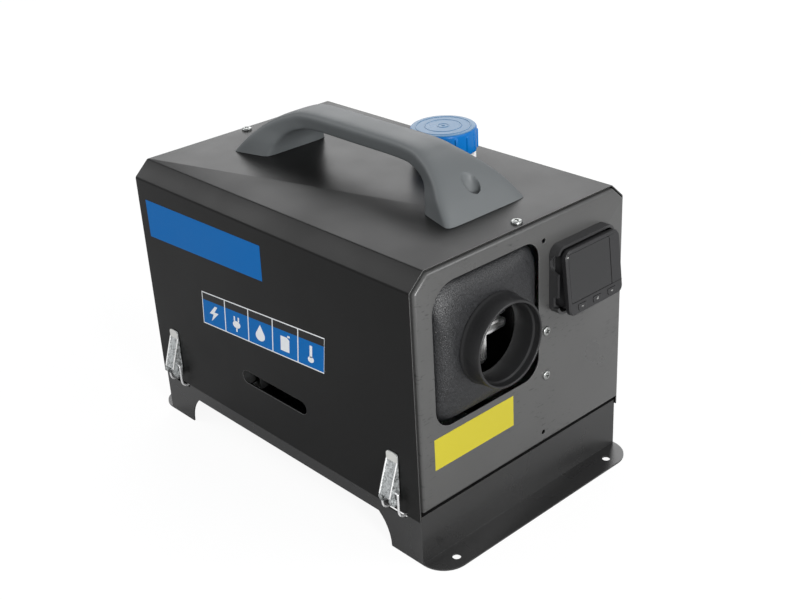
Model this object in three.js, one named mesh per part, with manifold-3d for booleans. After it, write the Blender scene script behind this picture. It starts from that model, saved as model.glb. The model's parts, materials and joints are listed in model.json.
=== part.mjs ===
// A portable diesel air heater: a sheet-steel case with a moulded carrying handle, latched down on a
// stand that bolts to a floor. A heater with its warm-air outlet in the front panel fills the left half
// of the case, and a fuel tank with a screw cap the right half.
// Millimetres. +Z is up, the outlet faces -Y, and the origin is under the middle of the stand.

import * as THREE from 'three';
import { mergeVertices } from 'three/addons/utils/BufferGeometryUtils.js';
import Module from 'manifold-3d';

const wasm = await Module();
wasm.setup();

// Driving dimensions ---------------------------------------------------------------------------------

const seat = 0.3; // gap left between two pieces that touch

// Stand: an upturned tray of folded sheet with a flange to screw down at each end.
const standHeight = 50;
const standSheet = 1.5;
const standSideGap = 0.4; // between the cover's inner face and the stand's skirt
const standEndInset = 1.5; // the stand's end walls behind the cover's ends
const flangeReach = 26;
const flangeCorner = 25;
const flangeHoleDiameter = 8;
const flangeHoleFromSide = 27.5;
const flangeHoleFromWall = 13.5;
const archHeight = 31;
const footLength = 40;
const archFlare = 15; // how far the foot widens over the arch's height

// Case: a cover bent over two flanged end panels and a floor.
const coverLength = 390;
const coverWidth = 264;
const coverHeight = 232;
const coverSheet = 1.2;
const coverOverlap = 4; // the cover reaches this far down over the stand
const shoulderWidth = 16;
const shoulderDrop = 14.5;
const bendRadius = 3;
const panelGap = 1.2;
const panelBend = 3;
const panelProud = 3; // the panel's face stands this far out of the cover's end
const panelFlange = 18;
const panelLift = 6; // from the stand's top to the panel's lower edge
const floorLip = 13;
const floorSideGap = 2.9;
const sightSlotLength = 96.5;
const sightSlotHeight = 13.6;
const sightSlotAboveStand = 47.5;
const coverScrewDiameter = 5;
const coverScrewFromEnd = 8;
const panelScrewDiameter = 4;
const panelScrewBesideOutlet = 9;
const panelScrewDrops = [25, 69.5]; // below the outlet's axis

// Handle: a moulded bridge with flared feet.
const handleHalfSpan = 151;
const handleRise = 48.8;
const handleFingerSpan = 108; // half, between the feet at the cover
const handleFingerRise = 31.2;
const handleGripHalfWidth = 19;
const handleFootHalfWidth = 49;
const handleOffset = -4.5; // its middle along Y
const handleScrewFromMiddle = 130;
const handleScrewPocketDiameter = 15;
const handleScrewDiameter = 5;
const handleScrewFloor = 7;

// Latches: four toggle latches whose wire bails hook through slots in the stand's skirts.
const latchFromMiddle = 164;
const latchPivotOut = 6;
const latchPivotRise = 14; // above the cover's lower edge
const latchPinDiameter = 3;
const latchWidth = 14;
const latchSheet = 1;
const latchChannelHeight = 36;
const latchTabHeight = 9.5;
const latchHeelOut = 13;
const latchTabOut = 1.5;
const bailArm = 9; // from the lever's pin up to the bail's
const bailWire = 2.2;
const bailSpread = 20.6;
const bailSlotLength = 24;
const bailSlotHeight = 4.5;
const bailSlotBelowTop = 4.5;

// Heater.
const casingWidth = 125;
const casingHeight = 130;
const casingWall = 3;
const casingCorner = 18;
const outletFromSide = 84; // outlet's axis from the cover's left side
const outletFromTop = 83;
const outletGap = 1; // between the front cap and the panel's opening
const capDepth = 34.5;
const capSwell = 24; // the depth over which it widens to the casing's outline
const capFlat = 42; // half of the nearly round flat under the collar
const capFlatCorner = 38;
const capProud = 6.5; // the flat stands this far out of the panel's face
const intakeCapRound = 9;
const collarDiameter = 77.2;
const collarWall = 3;
const collarReach = 19.5;
const collarBase = 41;
const casingLength = 289;
const intakeCapDepth = 30;
const exchangerFromCap = 6;
const exchangerLength = 182;
const exchangerRadius = 40;
const exchangerWall = 4;
const finPitch = 7;
const finThickness = 2.6;
const sideFinPairs = 4;
const bottomFinPairs = 5;
const topFinPairs = 3;
const finTipGap = 1.5;
const burnerRadius = 28;
const burnerWall = 1.5;
const burnerFlange = 50;
const blowerRadius = 44;
const blowerDepth = 26;
const motorRadius = 24;
const motorLength = 38;
const shaftDiameter = 8;
const shaftGap = 0.4;
const impellerRadius = 36;
const impellerVanes = 12;
const impellerHubRadius = 10;
const impellerPlate = 2;
const impellerVane = 1.6;
const wheelRadius = 52;
const wheelHubRadius = 17;
const wheelDepth = 20;
const wheelBlades = 9;
const boardThickness = 9;
const boardWidth = 76;
const gasketThickness = 3;
const bracketSheet = 1.5;
const bracketFront = 86; // its front leg behind the front panel's face
const bracketBeyondPipes = 34; // from the air pipe's axis to its rear leg
const pipeDiameter = 24;
const pipeWall = 1.5;
const exhaustFromBracket = 84;
const pipeSpacing = 63;
const pipeEndHeight = 38;

// Floor cut-out that lets the two pipes out, the same in the floor and in the stand.
const cutoutLeft = 84;
const cutoutRight = 10;
const cutoutFront = 68;
const cutoutRear = 63;
const cutoutCorner = 24;

// Fuel system.
const tankGap = 9; // beside the heater
const tankSideGap = 6.8;
const tankWall = 3;
const tankCorner = 16;
const tankFrontGap = 74; // behind the front panel
const tankRearBay = 98; // kept free for the pump
const tankTopGap = 19;
const tankFloorGap = 3;
const neckDiameter = 52;
const neckFromTankSide = 45;
const neckFromMiddle = -33;
const neckWall = 4;
const neckHoleGap = 4;
const fillerCapDiameter = 65;
const fillerCapHeight = 24;
const fillerCapLift = 10; // above the cover
const fillerCapRibs = 16;
const fillerCapRibDepth = 1.2;
const fillerCapRibWidth = 2;
const fillerCapSkin = 7;
const sealThickness = 1.5;
const strapWidth = 20;
const strapSheet = 1;
const strapFromRear = 40;
const pumpRadius = 13;
const pumpLength = 62;
const pumpTilt = 25; // degrees
const pumpHeight = 92; // above the floor
const filterRadius = 12;
const filterLength = 46;
const filterFromSide = 22; // from the tank's right side
const filterBehindTank = 36;
const filterRise = 68; // above the floor
const hoseDiameter = 6;
const spigotRise = 6.5;
const pickupFromSide = 22;
const pickupFromRear = 66;
const pickupSpigot = 13;
const pickupHoseBow = 84; // how far a hose runs on before it turns from the piece it joins
const filterTopHoseBow = 96;
const filterFootHoseBow = 22;
const pumpHoseBow = 12;

// Supply and connections.
const supplyWidth = 62;
const supplyHeight = 40;
const supplyEndGap = 34;
const inletWidth = 48;
const inletHeight = 24;
const inletDepth = 24;
const glandRadius = 9;
const intakeGrilleRadius = 58;
const intakeOpeningRadius = 52;

// Hand controller in its holder.
const holderWidth = 76;
const holderHeight = 65;
const holderDepth = 9.6;
const holderWall = 2.5;
const holderFromSide = 27.5; // its right edge from the cover's side
const holderFromTop = 28;
const holderCorner = 9;
const controllerWidth = 72;
const controllerHeight = 60;
const controllerReach = 20; // its face, at its middle, out of the panel
const controllerTilt = 6; // degrees, leaning back at the top
const controllerPlate = 6;
const screenWidth = 54;
const screenHeight = 44.5;
const screenThickness = 1;
const keyWidth = 10.4;
const keyHeight = 5.4;
const keySpacing = 20;
const keyThickness = 2.8;
const keyTravel = 0.8;

// Places worked out from them ------------------------------------------------------------------------

const coverBottom = standHeight - coverOverlap;
const coverTop = coverBottom + coverHeight;
const halfWidth = coverWidth / 2;
const halfLength = coverLength / 2;
const standHalfWidth = halfWidth - coverSheet - standSideGap;
const standHalfLength = halfLength - standEndInset;
const panelFace = halfLength + panelProud;
const panelInner = panelFace - coverSheet;
const panelBottom = standHeight + panelLift;
const floorBottom = panelBottom + coverSheet + seat;
const floorTop = floorBottom + coverSheet;
const outletX = outletFromSide - halfWidth;
const outletZ = coverTop - outletFromTop;
const capFace = -panelFace - capProud;
const casingFront = capFace + capDepth + seat;
const casingRear = casingFront + casingLength;
const casingBottom = outletZ - casingHeight / 2;
const exchangerFront = casingFront + exchangerFromCap;
const exchangerRear = exchangerFront + exchangerLength;
const exhaustPortBottom = outletZ - exchangerRadius - 8;
const bracketTop = casingBottom - gasketThickness - 2 * seat;
const bracketStart = -panelFace + bracketFront;
const exhaustY = bracketStart + exhaustFromBracket;
const airPipeY = exhaustY + pipeSpacing;
const bracketEnd = airPipeY + bracketBeyondPipes;
const tankLeft = outletX + casingWidth / 2 + tankGap;
const tankRight = halfWidth - coverSheet - tankSideGap;
const tankFront = -panelFace + tankFrontGap;
const tankRear = panelFace - tankRearBay;
const tankBottom = floorTop + tankFloorGap;
const tankTop = coverTop - coverSheet - tankTopGap;
const neckX = tankLeft + neckFromTankSide;
const neckY = neckFromMiddle;
const fillerCapBottom = coverTop + fillerCapLift;
const fillerCapTop = fillerCapBottom + fillerCapHeight;
const neckTop = fillerCapTop - fillerCapSkin - sealThickness - 2 * seat;
const floorCutout = roundedRectangle(-cutoutLeft, -cutoutFront, cutoutRight, cutoutRear, cutoutCorner);

// Finishes: colour, roughness, metalness -------------------------------------------------------------

const finishes = {
  powderBlack: [0x26262a, 0.45, 0.2],
  powderBlackPanel: [0x3a3b3d, 0.5, 0.2],
  texturedBlack: [0x2b2c30, 0.7, 0],
  mouldedBlack: [0x1b1b1d, 0.45, 0],
  handleGrey: [0x5f6466, 0.6, 0],
  rubber: [0x151515, 0.9, 0],
  zinc: [0xb9bdbf, 0.35, 0.9],
  wire: [0xd4d6d8, 0.25, 1],
  castAluminium: [0xbfc3c6, 0.4, 0.9],
  steel: [0x8e9296, 0.4, 0.9],
  galvanised: [0xa4a8aa, 0.5, 0.8],
  tankWhite: [0xe9ebe6, 0.5, 0],
  capBlue: [0x1f6fd6, 0.4, 0],
  fanGrey: [0x3c3f42, 0.5, 0],
  circuitGreen: [0x1d5c38, 0.6, 0],
  gasketGrey: [0x6e6a62, 0.9, 0],
  clearPlastic: [0xd9dfe0, 0.3, 0],
  brass: [0xb59a55, 0.35, 0.9],
  screenBlack: [0x1f2022, 0.15, 0],
  fuelHose: [0x20242a, 0.6, 0],
};

// Shapes and solids ----------------------------------------------------------------------------------

function polygon(points) {
  return new THREE.Shape(points.map(([u, v]) => new THREE.Vector2(u, v)));
}

// Radii are one number, or one for each corner from the lower left round to the upper left.
function roundedRectangle(left, bottom, right, top, radii) {
  const [lowerLeft, lowerRight, upperRight,
    upperLeft] = Array.isArray(radii) ? radii : Array(4).fill(radii);
  const shape = new THREE.Shape();
  shape.absarc(right - lowerRight, bottom + lowerRight, lowerRight, -Math.PI / 2, 0);
  shape.absarc(right - upperRight, top - upperRight, upperRight, 0, Math.PI / 2);
  shape.absarc(left + upperLeft, top - upperLeft, upperLeft, Math.PI / 2, Math.PI);
  shape.absarc(left + lowerLeft, bottom + lowerLeft, lowerLeft, Math.PI, 1.5 * Math.PI);
  shape.closePath();
  return shape;
}

// The points of an open outline with each inner corner turned into an arc.
function filleted(points, radius, steps = 3) {
  const out = [points[0]];
  for (let i = 1; i < points.length - 1; i += 1) {
    const corner = new THREE.Vector2(...points[i]);
    const before = new THREE.Vector2(...points[i - 1]).sub(corner).normalize();
    const after = new THREE.Vector2(...points[i + 1]).sub(corner).normalize();
    const half = before.angleTo(after) / 2;
    const start = corner.clone().addScaledVector(before, radius / Math.tan(half));
    const centre = corner.clone().addScaledVector(before.clone().add(after).normalize(),
      radius / Math.sin(half));
    const turn = before.cross(after) > 0 ? -1 : 1;
    for (let k = 0; k <= steps; k += 1) {
      const swing = turn * (Math.PI - 2 * half) * (k / steps);
      const point = start.clone().rotateAround(centre, swing);
      out.push([point.x, point.y]);
    }
  }
  out.push(points[points.length - 1]);
  return out;
}

// Shape coordinates are the other two axes in order: X Z along Y, Y Z along X, X Y along Z.
function extruded(shape, axis, from, to, { round = 0, roundSteps = 3, curveSegments = 5 } = {}) {
  const geometry = new THREE.ExtrudeGeometry(shape, {
    depth: to - from - 2 * round,
    curveSegments,
    bevelEnabled: round > 0,
    bevelThickness: round,
    bevelSize: round,
    bevelOffset: -round,
    bevelSegments: roundSteps,
  });
  geometry.translate(0, 0, round);
  if (axis === 'x') {
    const turn = new THREE.Matrix4();
    turn.makeBasis(new THREE.Vector3(0, 1, 0), new THREE.Vector3(0, 0, 1), new THREE.Vector3(1, 0, 0));
    geometry.applyMatrix4(turn);
    geometry.translate(from, 0, 0);
  } else if (axis === 'y') {
    geometry.rotateX(Math.PI / 2);
    geometry.translate(0, to, 0);
  } else {
    geometry.translate(0, 0, from);
  }
  return solidOf(geometry);
}

// The profile is a list of [radius, distance along the axis], on the axis at both ends or closed.
function revolved(profile, axis, [x, y, z], segments = 32) {
  const points = profile.map(([radius, along]) => new THREE.Vector2(radius, along));
  if (profile[0][0] > 0) points.push(points[0].clone());
  const geometry = new THREE.LatheGeometry(points, segments);
  if (axis === 'z') geometry.rotateX(Math.PI / 2);
  if (axis === 'x') geometry.rotateZ(-Math.PI / 2);
  geometry.translate(x, y, z);
  return solidOf(geometry);
}

function cylinder(radius, axis, from, to, centre, segments = 16) {
  return revolved([[0, from], [radius, from], [radius, to], [0, to]], axis, centre, segments);
}

function pipe(outer, inner, axis, from, to, centre, segments = 16) {
  return revolved([[inner, from], [outer, from], [outer, to], [inner, to]], axis, centre, segments);
}

function box(x0, x1, y0, y1, z0, z1) {
  const geometry = new THREE.BoxGeometry(x1 - x0, y1 - y0, z1 - z0);
  geometry.translate((x0 + x1) / 2, (y0 + y1) / 2, (z0 + z1) / 2);
  return solidOf(geometry);
}

// A path that runs straight from each of its points to the next.
class PointPath extends THREE.Curve {
  constructor(points) {
    super();
    this.points = points;
  }

  at(u, ahead) {
    const last = this.points.length - 1;
    const i = Math.round(u * last) + ahead;
    return this.points[THREE.MathUtils.clamp(i, 0, last)];
  }

  getPointAt(u) {
    return this.at(u, 0).clone();
  }

  getTangentAt(u) {
    const into = this.at(u, 0).clone().sub(this.at(u, -1)).normalize();
    return this.at(u, 1).clone().sub(this.at(u, 0)).normalize().add(into).normalize();
  }
}

function swept(points, radius, sides) {
  const section = [];
  for (let i = 0; i < sides; i += 1) {
    const angle = (2 * Math.PI * i) / sides;
    section.push([radius * Math.cos(angle), radius * Math.sin(angle)]);
  }
  const extrudePath = new PointPath(points);
  return solidOf(new THREE.ExtrudeGeometry(polygon(section), { steps: points.length - 1, extrudePath }));
}

// The points of straight runs whose corners are rounded.
function bent(corners, radii) {
  const points = [corners[0]];
  radii.forEach((radius, i) => {
    const corner = corners[i + 1];
    const back = corners[i].clone().sub(corner).setLength(radius).add(corner);
    const ahead = corners[i + 2].clone().sub(corner).setLength(radius).add(corner);
    points.push(...new THREE.QuadraticBezierCurve3(back, corner, ahead).getPoints(2));
  });
  points.push(corners[corners.length - 1]);
  return points;
}

// A skin over closed rings of points, with a flat fan across each end.
function lofted(rings) {
  const count = rings[0].length;
  const positions = rings.flat().flatMap((point) => point.toArray());
  const index = [];
  for (let ring = 0; ring < rings.length - 1; ring += 1) {
    for (let i = 0; i < count; i += 1) {
      const a = ring * count + i;
      const b = ring * count + ((i + 1) % count);
      index.push(a, b, b + count, a, b + count, a + count);
    }
  }
  for (const [ring, ahead] of [[0, false], [rings.length - 1, true]]) {
    const centre = rings[ring].reduce((sum, point) => sum.add(point), new THREE.Vector3());
    const hub = positions.length / 3;
    positions.push(...centre.divideScalar(count).toArray());
    for (let i = 0; i < count; i += 1) {
      const a = ring * count + i;
      const b = ring * count + ((i + 1) % count);
      index.push(...(ahead ? [a, b, hub] : [b, a, hub]));
    }
  }
  const geometry = new THREE.BufferGeometry();
  geometry.setAttribute('position', new THREE.Float32BufferAttribute(positions, 3));
  geometry.setIndex(index);
  return solidOf(geometry);
}

// Welds a closed geometry, drops its empty triangles and turns its faces outwards.
function solidOf(geometry) {
  geometry.deleteAttribute('normal');
  geometry.deleteAttribute('uv');
  const welded = mergeVertices(geometry, 1e-4);
  const position = welded.attributes.position;
  const corner = [new THREE.Vector3(), new THREE.Vector3(), new THREE.Vector3()];
  const triangles = [];
  let volume = 0;
  for (let i = 0; i < welded.index.count; i += 3) {
    const face = [0, 1, 2].map((k) => welded.index.getX(i + k));
    if (new Set(face).size === 3) {
      face.forEach((vertex, k) => corner[k].fromBufferAttribute(position, vertex));
      volume += corner[0].dot(corner[1].clone().cross(corner[2]));
      triangles.push(face);
    }
  }
  if (volume < 0) triangles.forEach((face) => face.reverse());
  return new wasm.Manifold(new wasm.Mesh({
    numProp: 3,
    vertProperties: new Float32Array(position.array),
    triVerts: new Uint32Array(triangles.flat()),
  }));
}

function join(...solids) {
  return solids.reduce((whole, solid) => whole.add(solid));
}

function cut(solid, ...tools) {
  return tools.reduce((rest, tool) => rest.subtract(tool), solid);
}

function piece(name, finish, solid) {
  const { vertProperties, triVerts } = solid.getMesh();
  const geometry = new THREE.BufferGeometry();
  geometry.setAttribute('position', new THREE.BufferAttribute(vertProperties, 3));
  geometry.setIndex(new THREE.BufferAttribute(triVerts, 1));
  geometry.computeVertexNormals();
  const [color, roughness, metalness] = finishes[finish];
  const mesh = new THREE.Mesh(geometry, new THREE.MeshStandardMaterial({ color, roughness, metalness }));
  mesh.name = name;
  return mesh;
}

// Stand ----------------------------------------------------------------------------------------------

function makeStand() {
  const skirt = standHalfWidth;
  const wall = standHalfLength;
  const flangeEnd = wall + flangeReach;
  let tray = box(-skirt, skirt, -wall, wall, 0, standHeight);
  tray = cut(tray, box(-skirt + standSheet, skirt - standSheet, -wall + standSheet, wall - standSheet,
    -1, standHeight - standSheet));
  const foot = wall - footLength;
  const flare = [];
  const flareSweep = 2 * Math.atan(archFlare / archHeight);
  const flareRadius = archHeight / Math.sin(flareSweep);
  for (let step = 0; step <= 6; step += 1) {
    const angle = flareSweep * (step / 6);
    flare.push([foot - flareRadius * (1 - Math.cos(angle)), flareRadius * Math.sin(angle)]);
  }
  const arch = polygon([[foot, -1], ...flare, ...flare.map(([y, z]) => [-y, z]).reverse(), [-foot, -1]]);
  tray = cut(tray, extruded(arch, 'x', -skirt - 1, skirt + 1));
  tray = cut(tray, extruded(floorCutout, 'z', standHeight - standSheet - 1, standHeight + 1));
  const slotTop = standHeight - bailSlotBelowTop;
  for (const end of [-1, 1]) {
    const inner = wall - standSheet;
    const corners = end < 0 ? [flangeCorner, flangeCorner, 0, 0] : [0, 0, flangeCorner, flangeCorner];
    const near = Math.min(end * inner, end * flangeEnd);
    const far = Math.max(end * inner, end * flangeEnd);
    let flange = extruded(roundedRectangle(-skirt, near, skirt, far, corners), 'z', 0, standSheet);
    for (const side of [-1, 1]) {
      const holeX = side * (skirt - flangeHoleFromSide);
      const holeY = end * (wall + flangeHoleFromWall);
      flange = cut(flange, cylinder(flangeHoleDiameter / 2, 'z', -1, standSheet + 1, [holeX, holeY, 0],
        14));
    }
    tray = join(tray, flange);
    const slotY = end * latchFromMiddle;
    tray = cut(tray, extruded(roundedRectangle(slotY - bailSlotLength / 2, slotTop - bailSlotHeight,
      slotY + bailSlotLength / 2, slotTop, 1.5), 'x', -skirt - 1, skirt + 1, { curveSegments: 1 }));
  }
  return piece('stand', 'powderBlack', tray);
}

// A strip of rubber under each end of the floor carries the case on the stand.
function makeRubberStrip(end) {
  const width = 18;
  const y = end * (panelFace - panelFlange - width / 2 - 2);
  const reach = halfWidth - 24;
  const outline = roundedRectangle(-reach, y - width / 2, reach, y + width / 2, 4);
  const strip = extruded(outline, 'z', standHeight + seat, floorBottom - seat, { curveSegments: 3 });
  return piece(end < 0 ? 'rubber_strip_front' : 'rubber_strip_rear', 'rubber', strip);
}

// Case -----------------------------------------------------------------------------------------------

// The shouldered outline of the case, moved inwards by inset, from its lower left to its lower right.
function caseOutline(inset, bottom, bend = Math.max(bendRadius - inset, 0.5)) {
  const slope = Math.hypot(shoulderWidth, shoulderDrop);
  const side = halfWidth - inset;
  const shoulderZ = coverTop - shoulderDrop - (inset * (slope - shoulderDrop)) / shoulderWidth;
  const shoulderX = halfWidth - shoulderWidth - (inset * (slope - shoulderWidth)) / shoulderDrop;
  const top = coverTop - inset;
  return filleted([[-side, bottom], [-side, shoulderZ], [-shoulderX, top], [shoulderX, top],
    [side, shoulderZ], [side, bottom]], bend, 2);
}

function makeCover() {
  const outside = caseOutline(0, coverBottom);
  const inside = caseOutline(coverSheet, coverBottom);
  let cover = extruded(polygon([...outside, ...inside.reverse()]), 'y', -halfLength, halfLength);
  const slotZ = standHeight + sightSlotAboveStand;
  const slot = roundedRectangle(-sightSlotLength / 2, slotZ - sightSlotHeight / 2, sightSlotLength / 2,
    slotZ + sightSlotHeight / 2, sightSlotHeight / 2 - 0.01);
  cover = cut(cover, extruded(slot, 'x', -halfWidth - 1, halfWidth + 1));
  const roof = coverTop - coverSheet - 1;
  const over = coverTop + 1;
  cover = cut(cover, cylinder(neckDiameter / 2 + neckHoleGap, 'z', roof, over, [neckX, neckY, 0], 32));
  for (const end of [-1, 1]) {
    const screwY = end * (halfLength - coverScrewFromEnd);
    cover = cut(cover, cylinder(coverScrewDiameter / 2 + seat, 'z', roof, over, [0, screwY, 0], 10));
    const handleY = handleOffset + end * handleScrewFromMiddle;
    cover = cut(cover, cylinder(handleScrewDiameter / 2 + seat, 'z', roof, over, [0, handleY, 0], 10));
  }
  return piece('cover', 'powderBlack', cover);
}

// A tray with a flange all round, opening away from its face, between the cover and the floor.
function flangedPanel(end) {
  const inset = coverSheet + panelGap;
  const outer = polygon(caseOutline(inset, panelBottom, panelBend + 0.3));
  const inner = polygon(caseOutline(inset + coverSheet, panelBottom + coverSheet,
    panelBend - coverSheet + 0.3));
  const round = panelBend;
  const innerBend = { round: panelBend - coverSheet, roundSteps: 2 };
  const back = panelFace - panelFlange;
  const [from, to] = end < 0 ? [-panelFace, -back + 3 * round] : [back - 3 * round, panelFace];
  const blank = extruded(outer, 'y', from, to, { round, roundSteps: 3 });
  const pocket = end < 0
    ? extruded(inner, 'y', -panelInner, -back + 4 * round, innerBend)
    : extruded(inner, 'y', back - 4 * round, panelInner, innerBend);
  const beyond = end < 0
    ? box(-halfWidth, halfWidth, -back, -back + 5 * round, 0, coverTop)
    : box(-halfWidth, halfWidth, back - 5 * round, back, 0, coverTop);
  const screw = cylinder(coverScrewDiameter / 2 + seat, 'z', coverTop - 6, coverTop + 1,
    [0, end * (halfLength - coverScrewFromEnd), 0], 10);
  return cut(blank, pocket, beyond, screw);
}

function makeFrontPanel() {
  const half = [casingWidth / 2 + outletGap, casingHeight / 2 + outletGap];
  const opening = roundedRectangle(outletX - half[0], outletZ - half[1], outletX + half[0],
    outletZ + half[1],
    [19, 19, 17, 25]);
  let panel = flangedPanel(-1);
  const [ahead, behind] = [-panelFace - 1, -panelInner + 1];
  panel = cut(panel, extruded(opening, 'y', ahead, behind));
  const screwX = outletX + half[0] + panelScrewBesideOutlet;
  const spareX = screwX - 2.8;
  const holes = [
    [screwX, outletZ - panelScrewDrops[0]],
    [screwX, outletZ - panelScrewDrops[1]],
    [spareX, coverTop - 21],
    [spareX, panelBottom + 10.4],
  ];
  for (const [x, z] of holes) {
    panel = cut(panel, cylinder(panelScrewDiameter / 2 + seat, 'y', ahead, behind, [x, 0, z], 12));
  }
  return piece('front_panel', 'powderBlackPanel', panel);
}

function makeRearPanel() {
  const [inside, outside] = [panelInner - 1, panelFace + 1];
  const opening = cylinder(intakeOpeningRadius, 'y', inside, outside, [outletX, 0, outletZ], 28);
  const inlet = box(inletX() - inletWidth / 2 + 7, inletX() + inletWidth / 2 - 7, inside, outside,
    inletZ() - inletHeight / 2 + 1, inletZ() + inletHeight / 2 - 1);
  const gland = cylinder(glandRadius - 2.5, 'y', inside, outside, [glandX(), 0, inletZ()], 16);
  return piece('rear_panel', 'powderBlackPanel', cut(flangedPanel(1), opening, inlet, gland));
}

function makeFloor() {
  const lipHalf = panelFace - panelFlange - 1.5;
  const half = halfWidth - coverSheet - floorSideGap;
  const reach = panelInner - seat - (panelBend - coverSheet);
  let floor = box(-half, half, -reach, reach, floorBottom, floorTop);
  for (const side of [-1, 1]) {
    const [x0, x1] = side < 0 ? [-half, -half + coverSheet] : [half - coverSheet, half];
    floor = join(floor, box(x0, x1, -lipHalf, lipHalf, floorBottom, floorTop + floorLip));
  }
  floor = cut(floor, extruded(floorCutout, 'z', floorBottom - 1, floorTop + 1));
  return piece('chassis_floor', 'powderBlack', floor);
}

// Handle ---------------------------------------------------------------------------------------------

// Rings run from the rear foot's base up and over to the front foot's base. Each ring lies between a
// point of the outer edge and one of the inner edge, and each edge has its own half width. The ring's
// lower corners are crisp, and its upper ones are rounder towards the grip.
function makeHandle() {
  const base = coverTop + seat;
  const mirrored = (points, sign) => [
    ...points.map(([u, v]) => new THREE.Vector2(u, v)),
    ...points.slice(0, -1).reverse().map(([u, v]) => new THREE.Vector2(sign * u, v)),
  ];
  const outer = new THREE.SplineCurve(mirrored([
    [handleHalfSpan, 0],
    [handleHalfSpan - 14, handleRise - 33],
    [handleHalfSpan - 32, handleRise - 18],
    [handleHalfSpan - 54, handleRise - 7],
    [handleHalfSpan - 81, handleRise - 0.7],
    [0, handleRise],
  ], -1));
  const inner = new THREE.SplineCurve(mirrored([
    [handleFingerSpan, 0],
    [handleFingerSpan - 4, handleFingerRise - 20],
    [handleFingerSpan - 13, handleFingerRise - 9.7],
    [handleFingerSpan - 29, handleFingerRise - 2.5],
    [handleFingerSpan - 50, handleFingerRise],
    [0, handleFingerRise],
  ], -1));
  const halves = new THREE.SplineCurve(mirrored([
    [handleFootHalfWidth - 12, handleFootHalfWidth],
    [handleFootHalfWidth - 17, handleFootHalfWidth - 6],
    [handleGripHalfWidth + 5, handleGripHalfWidth + 14],
    [handleGripHalfWidth, handleGripHalfWidth + 5],
    [handleGripHalfWidth - 2.5, handleGripHalfWidth + 1],
    [handleGripHalfWidth - 3, handleGripHalfWidth],
  ], 1));
  const stations = 24;
  const sides = 16;
  const rings = [];
  for (let station = 0; station <= stations; station += 1) {
    const t = station / stations;
    const [top, under, half] = [outer.getPoint(t), inner.getPoint(t), halves.getPoint(t)];
    const roundness = 0.22 + 0.42 * Math.sin(Math.PI * t);
    const ring = [];
    for (let i = 0; i < sides; i += 1) {
      const angle = (2 * Math.PI * (i + 0.5)) / sides;
      const power = angle < Math.PI ? roundness : 0.2;
      const soften = (value) => Math.sign(value) * Math.abs(value) ** power;
      const share = (1 + soften(Math.sin(angle))) / 2;
      const x = soften(Math.cos(angle)) * THREE.MathUtils.lerp(half.x, half.y, share);
      const y = handleOffset + THREE.MathUtils.lerp(under.x, top.x, share);
      ring.push(new THREE.Vector3(x, y, base + THREE.MathUtils.lerp(under.y, top.y, share)));
    }
    rings.push(ring);
  }
  let handle = lofted(rings);
  for (const end of [-1, 1]) {
    const centre = [0, handleOffset + end * handleScrewFromMiddle, base];
    handle = cut(handle,
      cylinder(handleScrewPocketDiameter / 2, 'z', handleScrewFloor, handleRise, centre, 14),
      cylinder(handleScrewDiameter / 2 + seat, 'z', -1, handleRise, centre, 10));
  }
  return piece('handle', 'handleGrey', handle);
}

// Latches --------------------------------------------------------------------------------------------

// Latch shapes are drawn in [out from the cover, height]. A latch is made for the left side, where out
// is -X, and turned half round for the right side.
function latchPlate(points, y0, y1) {
  return extruded(polygon(points.map(([out, z]) => [-out, z])), 'y', y0, y1);
}

const pivotZ = coverBottom + latchPivotRise;
const bailPinZ = pivotZ + bailArm;

function makeLatchBase(name) {
  const earOutside = latchWidth / 2 - latchSheet - 1.4;
  const bottom = pivotZ - 6;
  const top = pivotZ + 24;
  const plateOut = seat + latchSheet;
  let base = box(-plateOut, -seat, -earOutside, earOutside, bottom, top);
  const ear = [[seat, bottom], [latchPivotOut, pivotZ - 3.2], [latchPivotOut + 2.6, pivotZ],
    [latchPivotOut, pivotZ + 3.2], [seat, pivotZ + 8]];
  base = join(base, latchPlate(ear, -earOutside, -earOutside + latchSheet),
    latchPlate(ear, earOutside - latchSheet, earOutside));
  const pinEnd = bailSpread / 2 - bailWire / 2 - seat;
  const head = pinEnd - (latchWidth / 2 + seat);
  const radius = latchPinDiameter / 2;
  const pin = revolved([[0, -pinEnd], [radius + 1, -pinEnd], [radius + 1, -pinEnd + head], [radius,
    -pinEnd + head],
    [radius, pinEnd - head], [radius + 1, pinEnd - head], [radius + 1, pinEnd], [0, pinEnd]],
  'y', [-latchPivotOut, 0, pivotZ], 10);
  return piece(`latch_base_${name}`, 'zinc', join(base, pin));
}

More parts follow.
